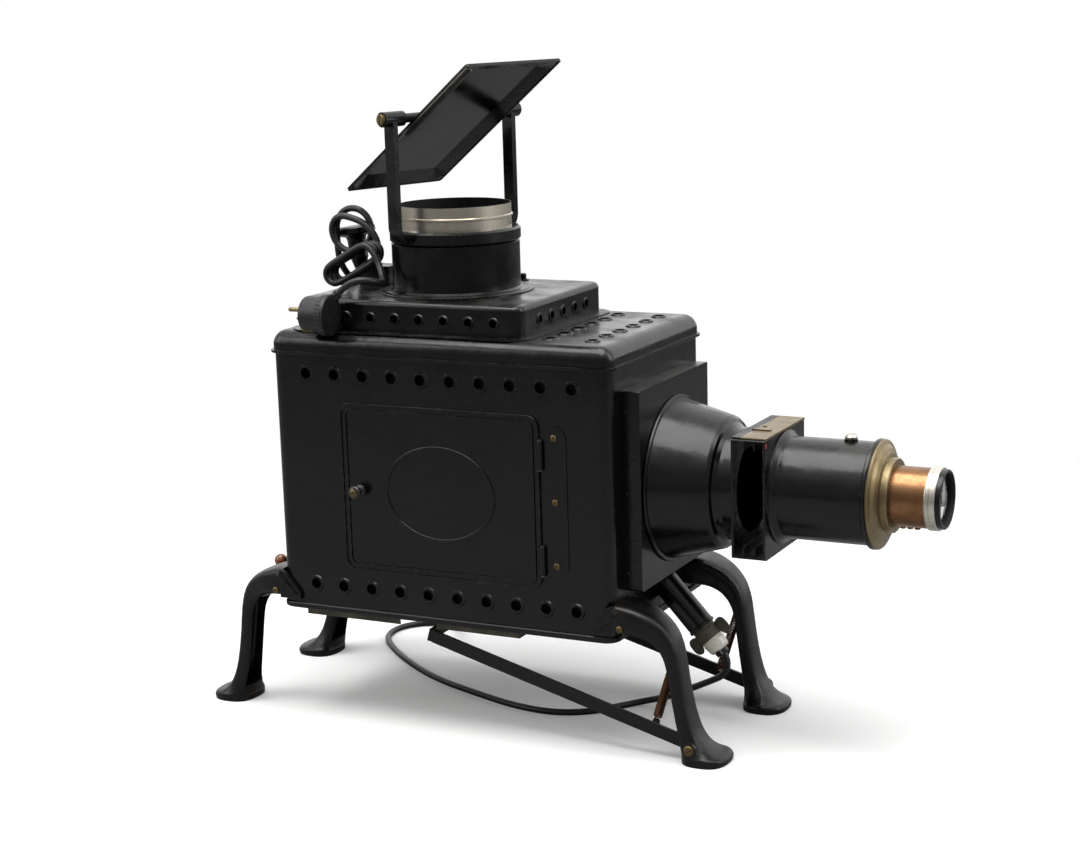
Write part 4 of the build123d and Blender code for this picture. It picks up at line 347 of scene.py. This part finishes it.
def makeMoulded(name, first, second, roughness, grainMm, bumpMm, coat=0.0):
    # Moulded or turned plastic, rubber and ebonite: two near shades and a fine surface grain.
    material, tree, shader = startMaterial(name, Roughness=roughness)
    shader.inputs["Coat Weight"].default_value = coat
    base = blendColours(tree, ramp(tree, grain(tree, 14, 5.0), 0.35, 0.7), first, second)
    handled = multiply(tree, edgeWear(tree, 0.9, 0.8), ramp(tree, grain(tree, 5, 4.0), 0.45, 0.62))
    base = blendColours(tree, multiply(tree, handled, 0.35), base, "#5b554d")
    tree.links.new(base, shader.inputs["Base Color"])
    tree.links.new(ramp(tree, grain(tree, 9, 4.0), 0.3, 0.75, roughness - 0.08, roughness + 0.1),
                   shader.inputs["Roughness"])
    addBump(tree, shader, grain(tree, grainMm, 3.0), bumpMm)
    return material


def makePorcelain():
    # Glazed porcelain: warm white under a clear glaze, grey in its pores.
    material, tree, shader = startMaterial("glazedPorcelain", Roughness=0.22)
    shader.inputs["Coat Weight"].default_value = 0.6
    shader.inputs["Coat Roughness"].default_value = 0.06
    base = blendColours(tree, ramp(tree, grain(tree, 16, 5.0), 0.4, 0.75), "#ece8dd", "#cfc8b8")
    pores = ramp(tree, grain(tree, 1.4, 4.0, roughness=0.7), 0.66, 0.74)
    base = blendColours(tree, multiply(tree, pores, 0.5), base, "#7b7264")
    tree.links.new(base, shader.inputs["Base Color"])
    return material


def makeTurnedWood():
    # Stained beech ball under shellac: 2 mm growth rings seen as long streaks.
    material, tree, shader = startMaterial("shellackedBeech", Roughness=0.3)
    shader.inputs["Coat Weight"].default_value = 0.7
    shader.inputs["Coat Roughness"].default_value = 0.12
    rings = grain(tree, 2.0, 4.0, (0.15, 1, 1), 0.6)
    base = blendColours(tree, ramp(tree, rings, 0.3, 0.7), "#4a200f", "#a35a2c")
    fleck = ramp(tree, grain(tree, 0.8, 3.0, (0.2, 1, 1)), 0.6, 0.72)
    base = blendColours(tree, multiply(tree, fleck, 0.5), base, "#2a120a")
    tree.links.new(base, shader.inputs["Base Color"])
    return material


def makeKhakiSteel():
    # Zinc-dipped sheet gone khaki-grey: dull, with 12 mm spangles.
    material, tree, shader = startMaterial("agedZincSteel", Metallic=0.35, Roughness=0.55)
    where = addNode(tree, "ShaderNodeTexCoord").outputs["Object"]
    spangle = addNode(tree, "ShaderNodeTexVoronoi", {"Vector": where, "Scale": 1 / (12 * millimetre)})
    base = blendColours(tree, ramp(tree, grain(tree, 24, 6.0), 0.35, 0.7), "#545042", "#37342b")
    tint = addNode(tree, "ShaderNodeSeparateColor", {0: spangle.outputs["Color"]}).outputs[0]
    base = blendColours(tree, multiply(tree, tint, 0.18), base, "#6a6554")
    tree.links.new(base, shader.inputs["Base Color"])
    tree.links.new(ramp(tree, grain(tree, 12, 5.0), 0.3, 0.75, 0.46, 0.66), shader.inputs["Roughness"])
    addBump(tree, shader, grain(tree, 3.0, 4.0), 0.06)
    return material


finishes = {
    "japan": makeJapannedSteel(),
    "japanWorn": makeJapannedSteel("japannedSteelHandled", wear=1.5, gloss=0.27),
    "japanInside": makeJapannedSteel("mattBlackInside", wear=0.4, dust=0.6, gloss=0.62),
    "cast": makeCastEnamel(),
    "nickel": makePlatedMetal("dullNickelPlate", "#d9d3c4", "#8f8778", 0.27, (2.0, 2.0, 0.06)),
    "ringNickel": makePlatedMetal("brightNickelPlate", "#e6e2d6", "#aaa497", 0.22, (0.06, 2.0, 2.0)),
    "brass": makePlatedMetal("agedBrass", "#9d8d6d", "#5d4f37", 0.33, (0.06, 1.6, 1.6)),
    "gateBrass": makePlatedMetal("gateSpringBrass", "#94866a", "#5d4f37", 0.36, (0.06, 1.6, 1.6)),
    "screwBrass": makePlatedMetal("slottedBrassScrew", "#7c6c4e", "#4a3d28", 0.40, (1.6, 0.2, 1.6), 6.0),
    "copperLacquer": makePlatedMetal("copperBrownLacquer", "#9a7250", "#533a28", 0.27, (0.06, 1.8, 1.8),
                                     18.0, 0.7, "#2b1a12"),
    "steel": makePlatedMetal("dullSteel", "#7e7b75", "#4d4a45", 0.38, (1.5, 0.3, 1.5)),
    "springWire": makePlatedMetal("bronzedSpringWire", "#6b4a35", "#3c281c", 0.42, (1.0, 1.0, 1.0), 9.0),
    "lens": makeGlass("crownGlass"),
    "bulb": makeGlass("bulbGlass", "#f6f8f6", 1.47),
    "mirror": makeMirrorFace(),
    "reflector": makePlatedMetal("silveredReflector", "#d9d9d6", "#a9a8a2", 0.16, (1.0, 1.0, 0.2)),
    "ebonite": makeMoulded("turnedEbonite", "#1d1815", "#2b241e", 0.36, 2.0, 0.03, 0.2),
    "bakelite": makeMoulded("mattBakelite", "#0c0c0c", "#141414", 0.42, 1.2, 0.05),
    "rubber": makeMoulded("rubberSheath", "#0b0b0b", "#151514", 0.44, 1.4, 0.03),
    "porcelain": makePorcelain(),
    "wood": makeTurnedWood(),
    "zinc": makeKhakiSteel(),
    "japanGate": makeJapannedSteel("japannedSteelGate", wear=1.5, gloss=0.27),
}
print("finishes made:", len(finishes))

nodeFinishes = {
    "japan": "housing_shell top_cover hood chimney door hinge_leaf front_frame condenser_cell "
             "condenser_cone objective_tube lamp_sleeve mirror_tray lens_cell lever_box seam_rivets "
             "hood_stud",
    "japanGate": "slide_gate",
    "japanWorn": "base_plate yoke hood_lever changeover_lever lever_frame cord_grip",
    "japanInside": "vent_baffles changeover_flap",
    "cast": "leg_front_right leg_front_left leg_back_right leg_back_left",
    "nickel": "episcope_barrel clamp_screw",
    "ringNickel": "focus_ring",
    "brass": "objective_flange plug_pins",
    "gateBrass": "gate_spring_plate",
    "screwBrass": "wall_screws frame_pivot_screws mirror_pivot_screws knob_screw",
    "copperLacquer": "lens_barrel",
    "steel": "mirror_clip latch_tongue hinge_pin stage_pin",
    "lens": "episcope_lenses condenser_lenses objective_lenses",
    "bulb": "lamp_bulb",
    "mirror": "mirror_glass",
    "reflector": "lamp_reflector",
    "ebonite": "door_knob",
    "bakelite": "plug_body",
    "porcelain": "porcelain",
    "wood": "lever_ball",
    "zinc": "stage_plate lamp_holder",
}
for finish, names in nodeFinishes.items():
    for name in names.split():
        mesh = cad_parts[name].data
        mesh.materials.clear()
        mesh.materials.append(finishes[finish])


def paintFaces(name, finish, wanted):
    # Gives a second finish to the faces of a node that pass a test of centre and normal.
    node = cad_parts[name]
    mesh = node.data
    mesh.materials.append(finishes[finish])
    last = len(mesh.materials) - 1
    for face in mesh.polygons:
        if wanted(node.matrix_world @ face.center, node.matrix_world.to_3x3() @ face.normal):
            face.material_index = last


def facesInwards(origin, alongX):
    # A test for faces that look at an axis: the vertical one, or the slide lens's.
    def wanted(centre, normal):
        away = centre - origin
        away[0 if alongX else 2] = 0
        return away.normalized().dot(normal) < -0.25
    return wanted


chimneyAxis = place(166, 121, 0)  # upright, through the page lens
lensAxis = place(0, 121, 275)  # level, through the slide lens
gateMarks = {"brassFrom": 515.8, "redMark": (542.4, 65.2, 328.9), "redRadius": 2.8}
for name in ("episcope_barrel", "chimney"):
    paintFaces(name, "japanInside", facesInwards(chimneyAxis, False))
for name in ("focus_ring", "lens_barrel", "objective_flange", "objective_tube", "lens_cell"):
    paintFaces(name, "japanInside", facesInwards(lensAxis, True))


def paintSpot(finish, name, centre, radiusMm, hexCode):
    # A dab of paint on a node whose finish is its own.
    tree = finishes[finish].node_tree
    shader = tree.nodes["Principled BSDF"]
    under = shader.inputs["Base Color"].links[0].from_socket
    where = addNode(tree, "ShaderNodeTexCoord").outputs["Object"]
    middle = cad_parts[name].matrix_world.inverted() @ centre
    away = addNode(tree, "ShaderNodeVectorMath", {0: where, 1: tuple(middle)},
                   operation="DISTANCE").outputs["Value"]
    share = ramp(tree, away, radiusMm * millimetre, (radiusMm - 0.3) * millimetre)
    tree.links.new(blendColours(tree, share, under, hexCode), shader.inputs["Base Color"])


def blackenStrip(finish, name, edge):
    # Japan over the metal on the condenser's side of an edge.
    tree = finishes[finish].node_tree
    shader = tree.nodes["Principled BSDF"]
    under = shader.inputs["Base Color"].links[0].from_socket
    where = addNode(tree, "ShaderNodeSeparateXYZ",
                    {0: addNode(tree, "ShaderNodeTexCoord").outputs["Object"]})
    middle = (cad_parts[name].matrix_world.inverted() @ edge).x
    share = ramp(tree, where.outputs["X"], middle + 0.0001, middle - 0.0001)
    tree.links.new(blendColours(tree, share, under, "#060606"), shader.inputs["Base Color"])
    tree.links.new(ramp(tree, share, 0.0, 1.0, 1.0, 0.0), shader.inputs["Metallic"])


blackenStrip("gateBrass", "gate_spring_plate", place(gateMarks["brassFrom"], 0, 0))
# red index mark on the slide gate's near edge
paintSpot("japanGate", "slide_gate", place(*gateMarks["redMark"]), gateMarks["redRadius"], "#a8433c")
print("model dressed")

# ---- cord: from the porcelain, over the floor, up the back and in loops to the plug

cordMake = {
    "diameter": 7.3, "length": 2.30,
    "run": (
        (469.88, 121, 90.67), (475.99, 121, 84.05), (476.5, 123, 70.5), (469, 127, 59.5), (456, 130.5, 52),
        (438, 138, 41.8), (415, 150, 29), (388, 163, 14), (362, 166, 5.5), (341, 146, 3.65),
        (318, 114, 3.65), (280, 96, 3.65), (228, 102, 3.65), (168, 125, 3.65), (104, 152, 3.65),
        (44, 193, 3.65), (-6, 238, 3.65),
        (-38, 277, 3.65), (-42, 318, 3.65), (-16, 348, 3.65), (22, 346, 6), (48, 318, 22), (56, 288, 55),
        (55, 268, 100), (50, 262, 165), (57, 265, 250), (52, 262, 330), (50, 262, 395), (48, 258, 440),
        (43, 239, 466), (37, 213, 475), (31, 182, 471), (26.6, 158, 470), (25.6, 133, 470),
        (23, 111.37, 492.78), (23, 109.42, 522.72)),
    "tail": ((97.87, 64.73, 506.5), (103.64, 63.23, 496.09), (112.3, 54.3, 483.4), (120, 36.5, 482.2),
             (113.9, 18.3, 488.8), (96, 8.21, 486), (84.04, 6.51, 474.04)),
    "loopRadius": 24.0, "ovalHalfLength": 35.0, "ovalHalfWidth": 10.8, "ovalLean": 29.0, "loopPitch": 9.8,
    "firstLoop": (47.0, 106.5, 530.0), "opensAfter": 0.7, "ovalShift": 15.0, "ovalDrop": 33.4,
    "firstTurn": -0.25, "loops": 4, "pointsPerTurn": 16,
}


def loopPoint(make, turn):
    # An upright round loop that opens into leaning ovals, each a little nearer the front.
    share = max(0.0, min(1.0, turn - make["opensAfter"]))
    share = share * share * (3 - 2 * share)
    halfLength = make["loopRadius"] + (make["ovalHalfLength"] - make["loopRadius"]) * share
    halfWidth = make["loopRadius"] + (make["ovalHalfWidth"] - make["loopRadius"]) * share
    lean = math.radians(make["ovalLean"]) * share
    # round ends and straight sides, so that no end bends tighter than half the width
    straight = halfLength - halfWidth
    quarter = math.pi * halfWidth / 2 + straight
    way = (0.25 - turn - lean / (2 * math.pi)) % 1.0 * 4  # quarters gone from the outer end
    corner, gone = int(way), (way % 1.0) * quarter
    if corner % 2:
        gone = quarter - gone
    arc = min(gone, math.pi * halfWidth / 2)
    along = straight - (gone - arc) + halfWidth * math.cos(arc / halfWidth)
    across = halfWidth * math.sin(arc / halfWidth)
    along *= -1 if corner in (1, 2) else 1
    across *= -1 if corner in (2, 3) else 1
    x, y, z = make["firstLoop"]
    return (x + make["ovalShift"] * share + along * math.cos(lean) - across * math.sin(lean),
            y - make["loopPitch"] * turn,
            z - make["ovalDrop"] * share + along * math.sin(lean) + across * math.cos(lean))


def splineCurve(name, points, radiusMm, finish, resolution=6):
    curve = bpy.data.curves.new(name, "CURVE")
    curve.dimensions = "3D"
    curve.bevel_depth = radiusMm * millimetre
    curve.bevel_resolution = 4
    curve.resolution_u = resolution
    curve.use_fill_caps = True
    spline = curve.splines.new("NURBS")
    spline.points.add(len(points) - 1)
    for slot, point in zip(spline.points, points):
        slot.co = (*point, 1.0)
    spline.order_u = 3
    spline.use_endpoint_u = True
    curve.materials.append(finish)
    piece = bpy.data.objects.new(name, curve)
    bpy.context.scene.collection.objects.link(piece)
    return piece


def makeCord(make):
    lastTurn = make["loops"] + (90 - make["ovalLean"]) / 360
    count = round((lastTurn - make["firstTurn"]) * make["pointsPerTurn"])
    turns = [make["firstTurn"] + (lastTurn - make["firstTurn"]) * i / count for i in range(count + 1)]
    points = [*make["run"], *(loopPoint(make, turn) for turn in turns), *make["tail"]]
    cord = splineCurve("mainsCord", [place(*point) for point in points], make["diameter"] / 2,
                       finishes["rubber"])
    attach(cord, "root")
    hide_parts("cord_run", "cord_coil", "cord_tail")


makeCord(cordMake)
print("cord laid")

# ---- lever springs, hooked over the frame's studs and the pins in the legs

legMake = {
    # outer and inner edge of the profile (from the end wall, height), front and back face, squareness
    "stations": (
        ((0.4, 166.5), (0.4, 135.0), -4.2, 48.0, 6.0), ((12, 165.6), (11, 134.6), -4.2, 47.0, 5.0),
        ((28, 161), (23, 132.5), -2.5, 44.5, 4.0), ((44, 152.5), (34, 127.5), 1.5, 42.5, 3.6),
        ((57, 139), (43, 119), 5.0, 41.5, 3.4), ((64, 122), (48.5, 109), 7.0, 41.0, 3.4),
        ((67.5, 103), (51.5, 97), 8.0, 41.0, 3.4), ((70.5, 82), (54, 80), 8.8, 41.2, 3.4),
        ((74.5, 60), (57, 60), 9.4, 42.0, 3.4), ((79, 42), (60, 42), 9.4, 43.5, 3.4),
        ((84.5, 28), (62.5, 28), 8.8, 46.0, 3.2), ((91.5, 18), (64, 18), 7.5, 50.0, 3.0),
        ((101, 11.6), (64.6, 11), 5.5, 55.0, 2.8), ((110, 9.0), (64.4, 8), 4.0, 59.2, 2.6),
        ((113, 6.8), (64, 6.6), 3.6, 60.3, 2.6), ((113.9, 4), (64, 4), 3.5, 60.5, 2.6),
        ((112.6, 0), (64, 0), 4.2, 59.8, 2.6),
    ),
    "wall": 3.6, "channel": (3, 12), "channelOut": 30.0, "steps": 4, "around": 32,
    "pad": ((-24, 134.4), (-24, 142), (-6, 163), (2, 166.4), (2, 134.4)),
    "ridge": ((-21, 138), (-17, 136.5), (7, 160), (3, 164)),
    "pivot": (79.0, 17.6), "springPin": (58.0, 116.0), "length": 400.0, "depth": 242.0,
}


def between(a, b, c, d, t):
    # Smooth value between b and c (Catmull-Rom).
    return 0.5 * (2 * b + (c - a) * t + (2 * a - 5 * b + 4 * c - d) * t * t
                  + (3 * b - a - 3 * c + d) * t * t * t)


def smoothStations(stations, steps):
    flat = [(*outer, *inner, low, high, square) for outer, inner, low, high, square in stations]
    result = []
    for i in range(len(flat) - 1):
        four = [flat[max(0, i - 1)], flat[i], flat[i + 1], flat[min(len(flat) - 1, i + 2)]]
        for k in range(steps):
            result.append([between(*(row[j] for row in four), k / steps) for j in range(7)])
    return result + [list(flat[-1])]


def loft(rows, around):
    # A closed skin through rounded sections.
    form = bmesh.new()
    loops = []
    for outerX, outerZ, innerX, innerZ, low, high, square in rows:
        loop = []
        for k in range(around):
            angle = 2 * math.pi * (k + 0.5) / around
            c, w = math.cos(angle), math.sin(angle)
            c = math.copysign(abs(c) ** (2 / square), c)
            w = math.copysign(abs(w) ** (2 / square), w)
            loop.append(form.verts.new(((outerX + innerX) / 2 + (outerX - innerX) / 2 * c,
                                        (low + high) / 2 + (high - low) / 2 * w,
                                        (outerZ + innerZ) / 2 + (outerZ - innerZ) / 2 * c)))
        loops.append(loop)
    for first, second in zip(loops, loops[1:]):
        for k in range(around):
            form.faces.new((first[k], first[(k + 1) % around], second[(k + 1) % around], second[k]))
    form.faces.new(list(reversed(loops[0])))
    form.faces.new(loops[-1])
    bmesh.ops.recalc_face_normals(form, faces=form.faces)
    return form


def meshObject(form, name):
    mesh = bpy.data.meshes.new(name)
    form.to_mesh(mesh)
    form.free()
    piece = bpy.data.objects.new(name, mesh)
    bpy.context.scene.collection.objects.link(piece)
    return piece


def addPrism(form, outline, low, high, shrink=1.0):
    # A flat plate between two depths; its outer end may be smaller.
    middle = [sum(p[i] for p in outline) / len(outline) for i in (0, 1)]
    rings = []
    for depth, share in ((high, 1.0), (low, shrink)):
        rings.append([form.verts.new((middle[0] + (x - middle[0]) * share, depth,
                                      middle[1] + (z - middle[1]) * share)) for x, z in outline])
    made = [form.faces.new(rings[0]), form.faces.new(list(reversed(rings[1])))]
    count = len(outline)
    for k in range(count):
        after = (k + 1) % count
        made.append(form.faces.new((rings[0][k], rings[1][k], rings[1][after], rings[0][after])))
    bmesh.ops.recalc_face_normals(form, faces=made)


def addPost(form, middle, radius, low, high, around=28):
    ring = [(middle[0] + radius * math.cos(2 * math.pi * k / around),
             middle[1] + radius * math.sin(2 * math.pi * k / around)) for k in range(around)]
    addPrism(form, ring, low, high)


def makeLegs(make):
    rows = smoothStations(make["stations"], make["steps"])
    plain = meshObject(loft(rows, make["around"]), "legForm")
    first, last = make["channel"]
    cut = []
    for outer, inner, low, high, square in make["stations"][first:last]:
        outer, inner = Vector(outer), Vector(inner)
        inwards = (inner - outer).normalized()
        cut.append((tuple(outer + inwards * make["wall"]), tuple(inner + inwards * make["channelOut"]),
                    low + make["wall"], high - make["wall"], 9.0))
    cutter = meshObject(loft(smoothStations(cut, make["steps"]), make["around"]), "legChannel")
    carve = plain.modifiers.new("channel", "BOOLEAN")
    carve.operation = "DIFFERENCE"
    carve.solver = "EXACT"
    carve.object = cutter
    bpy.context.view_layer.update()
    carved = plain.evaluated_get(bpy.context.evaluated_depsgraph_get()).to_mesh().copy()
    for right, back, name in ((1, 0, "leg_front_right"), (0, 0, "leg_front_left"), (1, 1, "leg_back_right"),
                              (0, 1, "leg_back_left")):
        form = bmesh.new()
        form.from_mesh(carved)
        addPrism(form, make["pad"], -4.2, -0.3)
        addPrism(form, make["ridge"], -6.5, -4.0, 0.82)
        if right:
            addPost(form, make["pivot"], 7.0, 5.5, 16.0)
            addPost(form, make["springPin"], 2.0, 8.0, 40.0)
        for vertex in form.verts:
            x, y, z = vertex.co
            vertex.co = place(make["length"] + x if right else -x, make["depth"] - y if back else y, z)
        if right == back:
            bmesh.ops.reverse_faces(form, faces=form.faces)
        leg = meshObject(form, "cast" + name.title().replace("_", ""))
        leg.data.shade_smooth()
        leg.data.set_sharp_from_angle(angle=math.radians(38))
        leg.data.materials.append(finishes["cast"])
        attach(leg, "root")
        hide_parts(name)
    for spare in (plain, cutter):
        bpy.data.objects.remove(spare)


makeLegs(legMake)
print("legs cast")

# ---- lamp holder: its tube, the strap round the porcelain's neck and the two grip wings

gripMake = {
    "origin": (400.0, 121.0, 166.4), "slope": 47.3, "around": 56,
    # distance along the slanted axis and radius
    "tube": ((-90, 11.2), (-90, 12.9), (75.4, 12.9), (75.8, 13.4), (75.8, 14.4), (76.2, 14.8), (87.4, 14.8),
             (87.8, 14.4), (87.8, 13.5), (76.9, 13.5), (76.9, 11.2)),
    # along the axis and out from it
    "wing": ((76.4, 13.9), (74.9, 17), (74.4, 20.5), (75.2, 23.4), (77.4, 25.4), (80.4, 26.2), (86.0, 26.4),
             (90.6, 25.6), (93.4, 23.2), (94.4, 19.8), (93.0, 16.8), (90.2, 15.0), (87.4, 13.9)),
    "thick": 1.6, "rivets": ((81.8, 3.2), (81.8, -4.4)),
}


def revolve(form, profile, around):
    # A closed ring from a closed profile of (along, radius) about x.
    rings = [[form.verts.new((along, radius * math.cos(2 * math.pi * k / around),
                              radius * math.sin(2 * math.pi * k / around))) for k in range(around)]
             for along, radius in profile]
    made = []
    for i, ring in enumerate(rings):
        after = rings[(i + 1) % len(rings)]
        for k in range(around):
            beside = (k + 1) % around
            made.append(form.faces.new((ring[k], ring[beside], after[beside], after[k])))
    bmesh.ops.recalc_face_normals(form, faces=made)


def makeLampGrip(make):
    slope = math.radians(make["slope"])
    along = Vector((math.cos(slope), 0, -math.sin(slope)))
    across = Vector((math.sin(slope), 0, math.cos(slope)))
    form = bmesh.new()
    revolve(form, make["tube"], make["around"])
    for side in (1, -1):
        addPrism(form, [(a, side * out) for a, out in make["wing"]], -make["thick"] / 2, make["thick"] / 2)
    for a, out in make["rivets"]:
        addPost(form, (a, out), 1.5, -15.4, -13.0, 20)
    for vertex in form.verts:
        a, depth, out = vertex.co
        vertex.co = place(*(Vector(make["origin"]) + along * a + across * out + Vector((0, depth, 0))))
    grip = meshObject(form, "lampGrip")
    grip.data.shade_smooth()
    grip.data.set_sharp_from_angle(angle=math.radians(32))
    soften = grip.modifiers.new("rolledEdge", "BEVEL")
    soften.width = 0.25 * millimetre
    soften.segments = 2
    soften.limit_method = "ANGLE"
    grip.data.materials.append(finishes["zinc"])
    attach(grip, "lamp")
    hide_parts("lamp_holder")


makeLampGrip(gripMake)
print("lamp grip bent")

springMake = {
    "start": (431.62, 31, 33.85), "stop": (458.0, 31, 116.0),
    "radius": 4.0, "wire": 0.95, "turns": 33 - 1 / 3, "hookRadius": 3.1, "hookReach": 7.0,
    "grow": 1.035, "hookGrow": 1.03,  # control points lie outside the curve they bend
    "depth": 242.0, "pointsPerTurn": 12,
}


def makeSpring(make, name, side):
    start, stop = Vector(make["start"]), Vector(make["stop"])
    line = (stop - start).normalized()
    length = (stop - start).length
    across = Vector((-line.z, 0, line.x))
    sideways = Vector((0, 1, 0))

    def at(along, reach, y):
        point = start + line * along + across * reach + sideways * y
        return point if side > 0 else Vector((point.x, make["depth"] - point.y, point.z))

    hook, radius, reach = make["hookRadius"], make["radius"], make["hookReach"]
    hook *= make["hookGrow"]
    radius *= make["grow"]
    points = [at(hook * math.cos(a), hook * math.sin(a), 0)
              for a in (math.radians(d) for d in range(-40, -271, -23))]
    pitch = (length - 2 * reach) / make["turns"]
    count = round(make["turns"] * make["pointsPerTurn"])
    for i in range(count + 1):
        a = math.radians(60 + i / count * make["turns"] * 360)
        points.append(at(reach + pitch * (a - math.pi / 3) / (2 * math.pi), radius * math.cos(a),
                         radius * math.sin(a)))
    points += [at(length - hook * math.cos(a), hook * math.sin(a), 0)
               for a in (math.radians(d) for d in range(90, 321, 23))]
    spring = splineCurve(name, [place(*point) for point in points], make["wire"], finishes["springWire"], 3)
    bpy.context.view_layer.objects.active = spring
    bpy.ops.object.select_all(action="DESELECT")
    spring.select_set(True)
    bpy.ops.object.convert(target="MESH")
    return spring, place(*at(0, 0, 0)), place(*at(length, 0, 0))


for name, side in (("leverSpringFront", 1), ("leverSpringBack", -1)):
    spring, low, high = makeSpring(springMake, name, side)
    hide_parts("lever_springs")
    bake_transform(spring)
print("springs hooked in")
